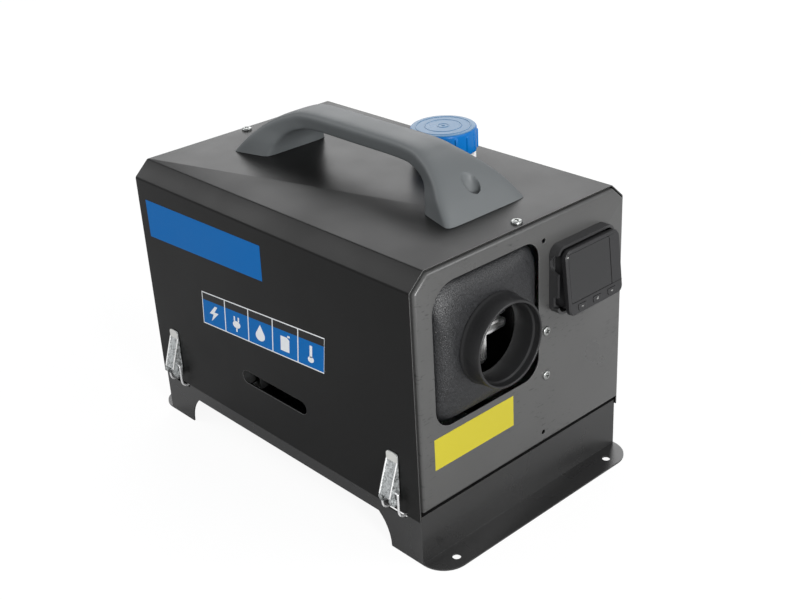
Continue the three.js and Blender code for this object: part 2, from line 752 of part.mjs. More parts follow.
function makeLatchLever(name) {
  const half = latchWidth / 2;
  const heelZ = pivotZ + 3;
  const top = pivotZ + latchChannelHeight;
  const webOut = (z) => latchHeelOut - ((latchHeelOut - latchTabOut) * (z - heelZ)) / (top - heelZ);
  const flange = [[latchHeelOut, heelZ], [latchTabOut, top], [0.6, top], [0.9, pivotZ + 6], [2.2,
    pivotZ - 2.5],
    [latchPivotOut, pivotZ - 4.9], [latchPivotOut + 2.6, pivotZ - 4.4], [latchPivotOut + 5, pivotZ - 2]];
  const behindWeb = [[webOut(pivotZ - 10) - latchSheet, pivotZ - 10], [webOut(top + 1) - latchSheet,
    top + 1],
    [-5, top + 1], [-5, pivotZ - 10]];
  const tab = roundedRectangle(-half, top - 1, half, top + latchTabHeight, [0.5, 0.5, 4, 2]);
  let lever = latchPlate(flange, -half, half);
  lever = cut(lever, latchPlate(behindWeb, -half + latchSheet, half - latchSheet));
  lever = cut(lever, box(-latchHeelOut - 1, 0, -half + latchSheet, half - latchSheet, pivotZ - 10,
    pivotZ + 6));
  lever = join(lever, extruded(tab, 'x', -latchTabOut, -latchTabOut + latchSheet, { curveSegments: 3 }));
  const pinHole = latchPinDiameter / 2 + seat;
  const bailHole = bailWire / 2 + seat;
  lever = cut(lever, cylinder(pinHole, 'y', -half - 1, half + 1, [-latchPivotOut, 0, pivotZ], 12),
    cylinder(bailHole, 'y', -half - 1, half + 1, [-latchPivotOut, 0, bailPinZ], 10));
  return piece(`latch_lever_${name}`, 'galvanised', lever);
}

function makeLatchBail(name) {
  const radius = bailWire / 2;
  const hookOut = -(coverSheet + standSideGap + standSheet + seat + radius);
  const hookZ = standHeight - bailSlotBelowTop - seat - radius;
  const pinEnd = latchWidth / 2 - latchSheet - 0.9;
  const spread = bailSpread / 2;
  const at = (out, y, z) => new THREE.Vector3(-out, y, z);
  const corners = [
    at(latchPivotOut, -pinEnd, bailPinZ),
    at(latchPivotOut, -spread, bailPinZ),
    at(latchPivotOut, -spread, hookZ),
    at(hookOut, -spread, hookZ),
    at(hookOut, spread, hookZ),
    at(latchPivotOut, spread, hookZ),
    at(latchPivotOut, spread, bailPinZ),
    at(latchPivotOut, pinEnd, bailPinZ),
  ];
  const wire = swept(bent(corners, [1.6, 8.5, 1.6, 1.6, 8.5, 1.6]), radius, 6);
  return piece(`latch_bail_${name}`, 'wire', wire);
}

function makeLatch(side, end) {
  const name = `${end < 0 ? 'front' : 'rear'}_${side < 0 ? 'left' : 'right'}`;
  const latch = new THREE.Group();
  latch.position.set(side * halfWidth, end * latchFromMiddle, 0);
  latch.rotation.z = side < 0 ? 0 : Math.PI;
  latch.add(makeLatchBase(name), makeLatchLever(name), makeLatchBail(name));
  return latch;
}

// Heater ---------------------------------------------------------------------------------------------

function casingOutline(inset, radii = casingCorner) {
  const [w, h] = [casingWidth / 2 - inset, casingHeight / 2 - inset];
  const smaller = Array.isArray(radii) ? radii.map((r) => r - inset) : radii - inset;
  return roundedRectangle(outletX - w, outletZ - h, outletX + w, outletZ + h, smaller);
}

// The cap's outline at each depth lies between the nearly round flat and the casing's outline.
function capForm(inset, end) {
  const corners = [18, 18, 16, 24];
  const steps = 6;
  const rings = [];
  for (let step = 0; step <= steps + 1; step += 1) {
    const angle = (Math.PI / 2) * Math.min(step / steps, 1);
    const widen = Math.sin(angle);
    const w = THREE.MathUtils.lerp(capFlat, casingWidth / 2, widen) - inset;
    const h = THREE.MathUtils.lerp(capFlat, casingHeight / 2, widen) - inset;
    const radii = corners.map((corner) => THREE.MathUtils.lerp(capFlatCorner, corner, widen) - inset);
    const y = step > steps ? end : capFace + inset + (capSwell - inset) * (1 - Math.cos(angle));
    const outline = roundedRectangle(outletX - w, outletZ - h, outletX + w, outletZ + h, radii);
    rings.push(outline.getPoints(6).map((point) => new THREE.Vector3(point.x, y, point.y)));
  }
  return lofted(rings);
}

function makeHeaterFrontCap() {
  const back = capFace + capDepth;
  const collarHole = cylinder(collarDiameter / 2 - collarWall + 1.8, 'y', capFace - 1,
    capFace + casingWall + 1,
    [outletX, 0, outletZ], 32);
  const shell = cut(capForm(0, back), capForm(casingWall, back + 1), collarHole);
  return piece('heater_front_cap', 'texturedBlack', shell);
}

function makeOutletCollar() {
  const outer = collarDiameter / 2;
  const bore = outer - collarWall;
  const back = capFace - seat;
  const rim = capFace - collarReach;
  const profile = [
    [bore - 1.4, capFace + 8],
    [bore + 1.5, capFace + 8],
    [bore + 1.5, back],
    [collarBase, back],
    [collarBase - 1, back - 5],
    [outer + 0.6, rim + 5],
    [outer, rim + 1],
    [outer - 0.8, rim],
    [outer - 1.8, rim],
    [outer - 2.4, rim + 1],
    [bore, rim + 6],
    [bore - 1.4, rim + 7.5],
  ];
  return piece('outlet_collar', 'mouldedBlack', revolved(profile, 'y', [outletX, 0, outletZ], 36));
}

// The casing is two half shells round the exchanger, blower and motor.
function makeHeaterCasing(half) {
  const tube = extruded(casingOutline(0), 'y', casingFront, casingRear);
  const hollow = extruded(casingOutline(casingWall), 'y', casingFront - 1, casingRear + 1);
  const [low, high] = half === 'upper' ? [outletZ + seat / 2, coverTop] : [0, outletZ - seat / 2];
  const slice = box(outletX - casingWidth, outletX + casingWidth, casingFront - 1, casingRear + 1, low,
    high);
  let shell = cut(tube, hollow).intersect(slice);
  if (half === 'lower') {
    for (const y of [exhaustY, airPipeY]) {
      shell = cut(shell, cylinder(pipeDiameter / 2 + 1, 'z', casingBottom - 1,
        casingBottom + casingWall + 1,
        [outletX, y, 0]));
    }
  }
  return piece(`heater_casing_${half}`, 'mouldedBlack', shell);
}

function guardRings(radii, spokes, thickness, y0, y1, outerReach) {
  const centre = [outletX, 0, outletZ];
  let guard = cylinder(radii[0], 'y', y0, y1, centre, 12);
  for (const radius of radii.slice(1)) {
    guard = join(guard, pipe(radius + thickness / 2, radius - thickness / 2, 'y', y0, y1, centre, 18));
  }
  for (let i = 0; i < spokes; i += 1) {
    const spoke = new THREE.BoxGeometry(outerReach, y1 - y0, thickness);
    spoke.translate(outerReach / 2, 0, 0);
    spoke.rotateY((2 * Math.PI * i) / spokes);
    spoke.translate(outletX, (y0 + y1) / 2, outletZ);
    guard = join(guard, solidOf(spoke));
  }
  return guard;
}

function makeHeaterIntakeCap() {
  const front = casingRear + seat;
  const back = front + intakeCapDepth;
  const mouth = 46;
  const block = extruded(casingOutline(0), 'y', front - intakeCapRound, back, { round: intakeCapRound,
    roundSteps: 2 });
  const hollow = extruded(casingOutline(casingWall), 'y', front - 2 * intakeCapRound, back - casingWall,
    { round: intakeCapRound - casingWall, roundSteps: 1 });
  const before = box(outletX - casingWidth, outletX + casingWidth, front - 3 * intakeCapRound, front, 0,
    coverTop);
  const hole = cylinder(mouth, 'y', front, back + 1, [outletX, 0, outletZ], 28);
  const guard = guardRings([10, 28], 5, 2.4, back - casingWall, back, mouth + 1.5);
  return piece('heater_intake_cap', 'mouldedBlack', join(cut(block, hollow, before, hole), guard));
}

// A hairpin fin: two plates joined at a rounded tip. Its foot is buried in the core's wall.
function hairpin(foot, tip, offset, upright) {
  const half = (finPitch + finThickness) / 2;
  const gap = half - finThickness;
  const [from, to] = foot < tip ? [foot, tip] : [tip, foot];
  const [near, far] = [from + finThickness, to - finThickness];
  const place = ([along, across]) => (upright
    ? [outletX + offset + across, outletZ + along]
    : [outletX + along, outletZ + offset + across]);
  const [left, low] = place([from, -half]);
  const [right, high] = place([to, half]);
  const shape = roundedRectangle(Math.min(left, right), Math.min(low, high), Math.max(left, right),
    Math.max(low, high), half - 0.8);
  shape.holes.push(polygon([[near, -gap], [far, -gap], [far, gap], [near, gap]].map(place)));
  return extruded(shape, 'y', exchangerFront, exchangerRear, { curveSegments: 2 });
}

function makeHeatExchanger() {
  const centre = [outletX, 0, outletZ];
  let block = cylinder(exchangerRadius, 'y', exchangerFront, exchangerRear, centre, 32);
  const sideReach = casingWidth / 2 - casingWall - finTipGap;
  const upReach = casingHeight / 2 - casingWall - finTipGap - boardThickness;
  const groups = [
    [sideFinPairs, sideReach, false],
    [sideFinPairs, -sideReach, false],
    [topFinPairs, upReach, true],
    [bottomFinPairs, -upReach, true],
  ];
  for (const [pairs, tip, upright] of groups) {
    for (let pair = 0; pair < pairs; pair += 1) {
      const offset = (2 * pair - (pairs - 1)) * finPitch;
      const widest = Math.abs(offset) + (finPitch + finThickness) / 2;
      const foot = Math.sqrt(exchangerRadius ** 2 - widest ** 2) - 6;
      block = join(block, hairpin(Math.sign(tip) * foot, tip, offset, upright));
    }
  }
  const boreRadius = exchangerRadius - exchangerWall;
  const bore = cylinder(boreRadius, 'y', exchangerFront + exchangerWall, exchangerRear + 1, centre, 32);
  const port = [outletX, exhaustY, 0];
  const portRadius = pipeDiameter / 2 + 3;
  block = cut(block, cylinder(portRadius + 1, 'z', 0, outletZ - exchangerRadius + 1.5, port, 20));
  block = join(block, cylinder(portRadius, 'z', exhaustPortBottom, outletZ - boreRadius + 1, port, 20));
  block = cut(block, bore, glowPlugSolid(seat),
    cylinder(pipeDiameter / 2 - pipeWall, 'z', exhaustPortBottom - 1, outletZ - boreRadius + 4, port, 20));
  return piece('heat_exchanger', 'castAluminium', block);
}

// The glow plug screws radially into the burner's rear end, between two groups of fins.
function glowPlugSolid(extra) {
  const radius = 4 + extra;
  const inner = burnerRadius + 1 - extra;
  const plug = new THREE.LatheGeometry([
    new THREE.Vector2(0, inner),
    new THREE.Vector2(radius, inner),
    new THREE.Vector2(radius, inner + 20 + extra),
    new THREE.Vector2(radius + 2.5, inner + 20 + extra),
    new THREE.Vector2(radius + 2.5, inner + 27 + extra),
    new THREE.Vector2(0, inner + 27 + extra),
  ], 12);
  plug.rotateX(Math.PI / 2);
  plug.rotateY(-Math.PI / 4);
  plug.translate(outletX, exchangerRear - 14, outletZ);
  return solidOf(plug);
}

function makeBurner() {
  const front = exchangerFront + 50;
  const flangeFront = exchangerRear + seat;
  const flangeBack = flangeFront + 3;
  const tube = revolved([
    [0, flangeFront], [burnerRadius - 6, flangeFront], [burnerRadius - burnerWall, flangeFront - 6],
    [burnerRadius - burnerWall, front], [burnerRadius, front], [burnerRadius, flangeFront],
    [burnerRadius, flangeBack], [0, flangeBack],
  ], 'y', [outletX, 0, outletZ], 24);
  const flange = extruded(roundedRectangle(outletX - burnerFlange, outletZ - burnerFlange,
    outletX + burnerFlange,
    outletZ + burnerFlange, 14), 'y', flangeFront, flangeBack);
  const airHole = cylinder(9, 'y', flangeFront - 8, flangeBack + 1, [outletX, 0, outletZ], 20);
  return piece('burner', 'steel', cut(join(tube, flange), airHole));
}

const blowerFront = exchangerRear + 3 + 2 * seat;
const blowerRear = blowerFront + blowerDepth;
const motorFront = blowerRear + seat;
const motorRear = motorFront + motorLength;
const shaftRadius = shaftDiameter / 2;

function makeBlowerHousing() {
  const wall = 4;
  const housing = revolved([
    [blowerRadius, blowerFront], [blowerRadius, blowerRear], [shaftRadius + shaftGap, blowerRear],
    [shaftRadius + shaftGap, blowerRear - wall], [blowerRadius - wall, blowerRear - wall],
    [blowerRadius - wall, blowerFront],
  ], 'y', [outletX, 0, outletZ], 28);
  const portBottom = outletZ - blowerRadius - 4;
  const port = pipe(pipeDiameter / 2, pipeDiameter / 2 - 3, 'z', portBottom, outletZ - blowerRadius + 6,
    [outletX, airPipeY, 0]);
  const inside = cylinder(blowerRadius - wall, 'y', blowerFront - 1, blowerRear - wall, [outletX, 0,
    outletZ], 28);
  const way = cylinder(pipeDiameter / 2 - 3, 'z', portBottom - 1, outletZ - blowerRadius + 8,
    [outletX, airPipeY, 0]);
  return piece('blower_housing', 'castAluminium', cut(join(housing, port), inside, way));
}

function makeBlowerMotor() {
  const profile = [
    [shaftRadius + shaftGap, motorFront], [motorRadius, motorFront], [motorRadius, motorRear - 5],
    [motorRadius - 6, motorRear], [shaftRadius + shaftGap, motorRear],
  ];
  return piece('blower_motor', 'steel', revolved(profile, 'y', [outletX, 0, outletZ], 24));
}

const wheelFront = motorRear + 5;
const wheelRear = wheelFront + wheelDepth;

function makeRotorShaft() {
  const shaft = cylinder(shaftRadius, 'y', blowerFront + 3, wheelRear - 2, [outletX, 0, outletZ], 20);
  return piece('rotor_shaft', 'steel', shaft);
}

function makeCombustionImpeller() {
  const front = blowerFront + 4;
  const back = blowerRear - 4 - impellerPlate;
  const centre = [outletX, 0, outletZ];
  let impeller = cylinder(impellerRadius, 'y', back - impellerPlate, back, centre, 32);
  impeller = join(impeller, cylinder(impellerHubRadius, 'y', front, back, centre, 24));
  for (let i = 0; i < impellerVanes; i += 1) {
    const vane = new THREE.BoxGeometry(impellerRadius - impellerHubRadius, back - front, impellerVane);
    vane.translate((impellerRadius + impellerHubRadius) / 2 - 1, 0, 0);
    vane.rotateY(0.35);
    vane.translate(0, 0, 3);
    vane.rotateY((2 * Math.PI * i) / impellerVanes);
    vane.translate(outletX, (front + back) / 2, outletZ);
    impeller = join(impeller, solidOf(vane));
  }
  const rim = cylinder(impellerRadius, 'y', front, back, centre, 32);
  const bore = cylinder(shaftRadius + seat, 'y', front - 1, back + 1, centre, 20);
  return piece('combustion_impeller', 'castAluminium', cut(impeller.intersect(rim), bore));
}

// Each blade is a thin cambered section whose pitch eases from the hub to the tip.
function makeHotAirWheel() {
  const chordSteps = 3;
  const radii = [wheelHubRadius - 3, wheelRadius];
  const middle = (wheelFront + wheelRear) / 2;
  const blade = lofted(radii.map((radius, k) => {
    const pitch = THREE.MathUtils.degToRad(58 - 24 * k);
    const chord = 15 + 12 * k;
    const ring = [];
    for (const [face, direction] of [[0.9, 1], [-0.9, -1]]) {
      for (let i = 0; i <= chordSteps; i += 1) {
        const share = direction > 0 ? i / chordSteps : 1 - i / chordSteps;
        const along = (share - 0.5) * chord;
        const camber = 1.6 * Math.sin(Math.PI * share) + face * Math.sin(Math.PI * (0.1 + 0.8 * share));
        const across = along * Math.cos(pitch) - camber * Math.sin(pitch);
        const back = along * Math.sin(pitch) + camber * Math.cos(pitch);
        ring.push(new THREE.Vector3(radius, middle + back * 0.8, across));
      }
    }
    return ring;
  }));
  const centre = [outletX, 0, outletZ];
  let wheel = revolved([
    [0, wheelFront], [wheelHubRadius, wheelFront], [wheelHubRadius, wheelRear - 4], [wheelHubRadius - 5,
      wheelRear],
    [0, wheelRear],
  ], 'y', centre, 24);
  for (let i = 0; i < wheelBlades; i += 1) {
    wheel = join(wheel, blade.rotate([0, (360 * i) / wheelBlades, 0]).translate([outletX, 0, outletZ]));
  }
  const rim = cylinder(wheelRadius - 0.5, 'y', wheelFront - 20, wheelRear + 20, centre, 27);
  const bore = cylinder(shaftRadius + seat, 'y', wheelFront - 1, wheelRear - 1.5, centre, 20);
  return piece('hot_air_wheel', 'fanGrey', cut(wheel.intersect(rim), bore));
}

function makeControlBoard() {
  const top = outletZ + casingHeight / 2 - casingWall - seat;
  const board = box(outletX - boardWidth / 2, outletX + boardWidth / 2, blowerFront + 2, motorRear - 2,
    top - boardThickness, top);
  return piece('control_board', 'circuitGreen', board);
}

// The heater stands on a gasket and a bridge bracket over the floor's cut-out.
function makeMountingGasket() {
  const plate = extruded(roundedRectangle(outletX - 30, exhaustY - 26, outletX + 30, airPipeY + 26, 12),
    'z',
    bracketTop + seat, casingBottom - seat);
  return piece('mounting_gasket', 'gasketGrey', cut(plate, ...pipeHoles(bracketTop, casingBottom)));
}

function pipeHoles(low, high) {
  return [exhaustY, airPipeY].map((y) => cylinder(pipeDiameter / 2 + 1, 'z', low - 1, high + 1, [outletX,
    y, 0], 16));
}

function makeHeaterBracket() {
  const half = 52;
  const foot = 13;
  const [x0, x1] = [outletX - half, outletX + half];
  const under = bracketTop - bracketSheet;
  const footBottom = floorTop + seat;
  const footTop = footBottom + bracketSheet;
  let bracket = cut(box(x0, x1, bracketStart, bracketEnd, under, bracketTop), ...pipeHoles(under,
    bracketTop));
  bracket = join(bracket,
    box(x0, x1, bracketStart, bracketStart + bracketSheet, footBottom, bracketTop),
    box(x0, x1, bracketEnd - bracketSheet, bracketEnd, footBottom, bracketTop),
    box(x0, x1, bracketStart - foot, bracketStart + bracketSheet, footBottom, footTop),
    box(x0, x1, bracketEnd - bracketSheet, bracketEnd + foot, footBottom, footTop));
  return piece('heater_bracket', 'galvanised', bracket);
}

function makePipe(name, y, top) {
  const outer = pipeDiameter / 2;
  return piece(name, 'steel', pipe(outer, outer - pipeWall, 'z', pipeEndHeight, top, [outletX, y, 0]));
}

// Fuel system ----------------------------------------------------------------------------------------

function makeFuelTank() {
  const outline = (inset) => roundedRectangle(tankLeft + inset, tankFront + inset, tankRight - inset,
    tankRear - inset, tankCorner - inset);
  const body = extruded(outline(0), 'z', tankBottom, tankTop, { round: 6, roundSteps: 2,
    curveSegments: 3 });
  const inside = extruded(outline(tankWall), 'z', tankBottom + tankWall, tankTop - tankWall,
    { round: 3, roundSteps: 1, curveSegments: 2 });
  const neck = cylinder(neckDiameter / 2, 'z', tankTop - tankWall, neckTop, [neckX, neckY, 0], 28);
  const bore = cylinder(neckDiameter / 2 - neckWall, 'z', tankTop - 2 * tankWall, neckTop + 1, [neckX,
    neckY, 0], 28);
  const pickupHole = cylinder(4 + seat, 'z', tankTop - 2 * tankWall, tankTop + 1, pickupFoot(), 12);
  return piece('fuel_tank', 'tankWhite', cut(join(body, neck), inside, bore, pickupHole));
}

function pickupFoot() {
  return [tankRight - pickupFromSide, tankRear - pickupFromRear, 0];
}

// A standpipe reaches nearly to the tank's floor, and its spigot points to the rear.
function makeFuelPickup() {
  const [x, y] = pickupFoot();
  const profile = [
    [0, tankBottom + 12], [2, tankBottom + 12], [2, tankTop - tankWall], [4, tankTop - tankWall],
    [4, tankTop + seat], [8, tankTop + seat], [8, tankTop + 4], [4.5, tankTop + 4], [4.5, tankTop + 9],
    [0, tankTop + 9],
  ];
  const spigot = cylinder(hoseDiameter / 2 - 0.4, 'y', y, y + pickupSpigot, [x, 0, tankTop + spigotRise],
    8);
  return piece('fuel_pickup', 'brass', join(revolved(profile, 'z', [x, y, 0], 10), spigot));
}

// Narrow ribs stand out of the cap's skirt, with wide plain bands between them.
function makeFillerCap() {
  const radius = fillerCapDiameter / 2;
  const skirt = radius - fillerCapRibDepth;
  const pitch = (2 * Math.PI) / fillerCapRibs;
  const half = fillerCapRibWidth / 2 / radius;
  const steps = [[-half, radius], [half, radius], [1.6 * half, skirt], [pitch * 0.37, skirt],
    [pitch * 0.63, skirt],
    [pitch - 1.6 * half, skirt]];
  const outline = [];
  for (let rib = 0; rib < fillerCapRibs; rib += 1) {
    for (const [ahead, reach] of steps) {
      const angle = rib * pitch + ahead;
      outline.push([neckX + reach * Math.cos(angle), neckY + reach * Math.sin(angle)]);
    }
  }
  const body = extruded(polygon(outline), 'z', fillerCapBottom, fillerCapTop);
  const crown = revolved([
    [0, fillerCapBottom - 1], [radius + 1, fillerCapBottom - 1], [radius + 1, fillerCapTop - 3.5],
    [radius - 3.5, fillerCapTop], [0, fillerCapTop],
  ], 'z', [neckX, neckY, 0], 28);
  const dish = revolved([
    [0, fillerCapTop - 1.5], [radius - 7, fillerCapTop - 1.5], [radius - 6, fillerCapTop + 1], [0,
      fillerCapTop + 1],
  ], 'z', [neckX, neckY, 0], 28);
  const inside = cylinder(neckDiameter / 2 + 0.8, 'z', fillerCapBottom - 1, fillerCapTop - fillerCapSkin,
    [neckX, neckY, 0], 28);
  return piece('fuel_cap', 'capBlue', cut(body.intersect(crown), dish, inside));
}

function makeCapSeal() {
  const top = fillerCapTop - fillerCapSkin - seat;
  const ring = pipe(neckDiameter / 2, neckDiameter / 2 - 12, 'z', top - sealThickness, top, [neckX,
    neckY, 0], 24);
  return piece('cap_seal', 'rubber', ring);
}

function makeTankStrap() {
  const gap = seat + 0.2;
  const y0 = tankRear - strapFromRear;
  const y1 = y0 + strapWidth;
  const outer = [tankLeft - gap - strapSheet, tankRight + gap + strapSheet];
  const foot = 8;
  const low = floorTop + seat;
  const strap = join(
    box(outer[0], outer[1], y0, y1, tankTop + gap, tankTop + gap + strapSheet),
    box(outer[0], outer[0] + strapSheet, y0, y1, low, tankTop + gap + strapSheet),
    box(outer[1] - strapSheet, outer[1], y0, y1, low, tankTop + gap + strapSheet),
    box(outer[0] - foot, outer[0] + strapSheet, y0, y1, low, low + strapSheet),
  );
  return piece('tank_strap', 'galvanised', strap);
}

const pumpCentre = new THREE.Vector3(
  (tankLeft + tankRight) / 2,
  panelInner - seat - pumpRadius - 12,
  floorTop + pumpHeight,
);

function tilted(solid) {
  return solid.rotate([0, pumpTilt, 0]).translate(pumpCentre.toArray());
}

function makeDosingPump() {
  const half = pumpLength / 2;
  const pump = revolved([
    [0, -half - 12], [2.6, -half - 12], [2.6, -half], [pumpRadius - 3, -half], [pumpRadius, -half + 4],
    [pumpRadius, half - 14], [pumpRadius - 4, half - 14], [pumpRadius - 4, half], [2.6, half],
    [2.6, half + 12], [0, half + 12],
  ], 'x', [0, 0, 0], 16);
  return piece('dosing_pump', 'steel', tilted(pump));
}

// A rubber saddle wraps the pump and stands off the rear panel.
function makePumpClamp() {
  const width = 20;
  const outer = pumpRadius + 5;
  const wrap = pipe(outer, pumpRadius + seat, 'x', -width / 2, width / 2, [0, 0, 0], 20);
  const stem = box(-width / 2, width / 2, pumpRadius + 2, panelInner - seat - pumpCentre.y, -6, 6);
  return piece('pump_clamp', 'rubber', tilted(join(wrap, stem)));
}

function pumpEnd(side) {
  const reach = pumpLength / 2 + 12 + seat;
  const angle = THREE.MathUtils.degToRad(pumpTilt);
  const along = new THREE.Vector3(Math.cos(angle), 0, -Math.sin(angle));
  return [pumpCentre.clone().addScaledVector(along, side * reach), along.multiplyScalar(side)];
}

const filterCentre = new THREE.Vector3(tankRight - filterFromSide, tankRear + filterBehindTank,
  floorTop + filterRise);

function makeFuelFilter() {
  const half = filterLength / 2;
  const profile = [
    [0, -half - 8], [2.6, -half - 8], [2.6, -half], [filterRadius, -half + 4], [filterRadius, half - 4],
    [2.6, half], [2.6, half + 8], [0, half + 8],
  ];
  return piece('fuel_filter', 'clearPlastic', revolved(profile, 'z', filterCentre.toArray(), 16));
}

// A hose leaves each end straight and bends between them, further from an end with a longer bow.
function hose(name, [start, startDirection, startBow], [end, endDirection, endBow]) {
  const straight = 2;
  const from = start.clone().addScaledVector(startDirection, straight);
  const to = end.clone().addScaledVector(endDirection, straight);
  const curve = new THREE.CubicBezierCurve3(
    from,
    from.clone().addScaledVector(startDirection, startBow),
    to.clone().addScaledVector(endDirection, endBow),
    to,
  );
  return piece(name, 'fuelHose', swept([start, ...curve.getSpacedPoints(11), end], hoseDiameter / 2, 6));
}

function makeTankHose() {
  const [x, y] = pickupFoot();
  const start = new THREE.Vector3(x, y + pickupSpigot + seat, tankTop + spigotRise);
  const end = filterCentre.clone().add(new THREE.Vector3(0, 0, filterLength / 2 + 8 + seat));
  return hose('fuel_hose_tank', [start, new THREE.Vector3(0, 1, 0), pickupHoseBow],
    [end, new THREE.Vector3(0, 0, 1), filterTopHoseBow]);
}

function makePumpHose() {
  const start = filterCentre.clone().sub(new THREE.Vector3(0, 0, filterLength / 2 + 8 + seat));
  const [end, direction] = pumpEnd(1);
  return hose('fuel_hose_pump', [start, new THREE.Vector3(0, 0, -1), filterFootHoseBow],
    [end, direction, pumpHoseBow]);
}

// Supply and connections -----------------------------------------------------------------------------

function supplyStart() {
  return bracketEnd + 13 + 3;
}

function makePowerSupply() {
  const x0 = -halfWidth + coverSheet + floorSideGap + coverSheet + 4;
  const x1 = x0 + supplyWidth;
  const y0 = supplyStart();
  const y1 = panelInner - supplyEndGap;
  const low = floorTop + seat;
  let supply = box(x0, x1, y0, y1, low, low + supplyHeight);
  for (let y = y0 + 8; y < y1 - 6; y += 8) {
    supply = cut(supply, box(x0 + 6, x1 - 6, y, y + 3, low + supplyHeight - 2.5, low + supplyHeight + 1));
  }
  return piece('power_supply', 'galvanised', supply);
}

function inletX() {
  return outletX - 8;
}

function inletZ() {
  return floorTop + 31;
}

function glandX() {
  return inletX() + inletWidth / 2 + 22;
}

// A recessed supply inlet with three flat pins.
function makeMainsInlet() {
  const [x, z] = [inletX(), inletZ()];
  const face = panelFace + seat;
  const flange = extruded(roundedRectangle(x - inletWidth / 2, z - inletHeight / 2, x + inletWidth / 2,
    z + inletHeight / 2, 4), 'y', face, face + 2.5);
  const body = box(x - inletWidth / 2 + 8, x + inletWidth / 2 - 8, face - inletDepth, face + 1,
    z - inletHeight / 2 + 2, z + inletHeight / 2 - 2);
  const recess = box(x - inletWidth / 2 + 11, x + inletWidth / 2 - 11, face - inletDepth + 5, face + 3,
    z - inletHeight / 2 + 4.5, z + inletHeight / 2 - 4.5);
  let inlet = cut(join(flange, body), recess);
  for (const [dx, dz] of [[-7, -2], [0, 3], [7, -2]]) {
    inlet = join(inlet, box(x + dx - 1, x + dx + 1, face - inletDepth + 4, face - 5, z + dz - 2,
      z + dz + 2));
  }
  return piece('mains_inlet', 'mouldedBlack', inlet);
}

function makeSupplyGland() {
  const face = panelFace + seat;
  const hex = revolved([[3.5, face], [glandRadius, face], [glandRadius, face + 5], [3.5, face + 5]], 'y',
    [glandX(), 0, inletZ()], 6);
  const dome = revolved([[3.5, face + 4], [7, face + 4], [7, face + 9], [5, face + 13], [3.5,
    face + 13]], 'y',
    [glandX(), 0, inletZ()], 14);
  const stem = pipe(6, 3.5, 'y', panelInner - 8, face + 1, [glandX(), 0, inletZ()], 14);
  return piece('supply_gland', 'mouldedBlack', join(hex, dome, stem));
}

function makeIntakeGrille() {
  const face = panelFace + seat;
  const ring = pipe(intakeGrilleRadius, intakeOpeningRadius - 4, 'y', face, face + 4, [outletX, 0,
    outletZ], 28);
  const guard = guardRings([8, 30], 6, 2.2, face, face + 3, intakeOpeningRadius - 2);
  return piece('intake_grille', 'mouldedBlack', join(ring, guard));
}

// Controller -----------------------------------------------------------------------------------------

const holderRight = halfWidth - holderFromSide;
const holderTop = coverTop - holderFromTop;
const holderX = holderRight - holderWidth / 2;
const holderZ = holderTop - holderHeight / 2;

function makeControllerHolder() {
  const back = -panelFace - seat;
  const [w, h] = [holderWidth / 2, holderHeight / 2];
  const outline = (inset) => roundedRectangle(holderX - w + inset, holderZ - h + inset, holderX + w - inset,
    holderZ + h - inset, holderCorner - inset);
  let tray = extruded(outline(0), 'y', back - holderDepth, back);
  tray = cut(tray, extruded(outline(holderWall), 'y', back - holderDepth - 1, back - holderWall));
  const notch = cylinder(9, 'x', holderX - w - 1, holderX - w + holderWall + 1,
    [0, back - holderDepth, holderZ + h - 16], 14);
  const lowerNotch = box(holderX - w - 1, holderX - w + holderWall + 1, back - holderDepth - 1, back - 5,
    holderZ - h + 8, holderZ - h + 18);
  return piece('controller_holder', 'mouldedBlack', cut(tray, notch, lowerNotch));
}

// The controller's face leans back, so what lies in it is placed in a tilted group.
function makeController() {
  const frame = new THREE.Group();
  frame.position.set(holderX, -panelFace - controllerReach, holderZ);
  frame.rotation.x = -THREE.MathUtils.degToRad(controllerTilt);
  const [w, h] = [controllerWidth / 2, controllerHeight / 2];
  const plate = extruded(roundedRectangle(-w, -h, w, h, 7), 'y', 0, controllerPlate,
    { round: 1.2, roundSteps: 1, curveSegments: 4 });
  const blockBack = controllerReach - seat - holderWall - 2 * seat;
  const block = extruded(roundedRectangle(-w + 2.5, -h + 3, w - 2.5, h - 3, 6), 'y', 2.6, blockBack,
    { curveSegments: 3 });
  const straightened = block.rotate([controllerTilt, 0, 0]);
  const left = -w + 3;
  const top = h - 3;
  const pocket = extruded(roundedRectangle(left - seat, top - screenHeight - seat,
    left + screenWidth + seat,
    top + seat, 2), 'y', -1, screenThickness + seat, { curveSegments: 2 });
  let housing = cut(join(plate, straightened), pocket);
  const keys = [];
  const keyZ = (top - screenHeight - h) / 2;
  for (const [i, side] of ['left', 'middle', 'right'].entries()) {
    const x = (i - 1) * keySpacing;
    const outline = (grow) => roundedRectangle(x - keyWidth / 2 - grow, keyZ - keyHeight / 2 - grow,
      x + keyWidth / 2 + grow, keyZ + keyHeight / 2 + grow, 1.2);
    const proud = 0.6;
    housing = cut(housing, extruded(outline(seat), 'y', -1, keyThickness - proud + keyTravel + seat,
      { curveSegments: 2 }));
    const key = extruded(outline(0), 'y', -proud, keyThickness - proud, { curveSegments: 2 });
    keys.push(piece(`key_${side}`, 'mouldedBlack', key));
  }
  const screen = extruded(roundedRectangle(left, top - screenHeight, left + screenWidth, top, 1.7), 'y', 0,
    screenThickness, { curveSegments: 2 });
  frame.add(piece('controller_housing', 'mouldedBlack', housing));
  frame.add(piece('controller_screen', 'screenBlack', screen));
  frame.add(...keys);
  return frame;
}

// Assembly -------------------------------------------------------------------------------------------

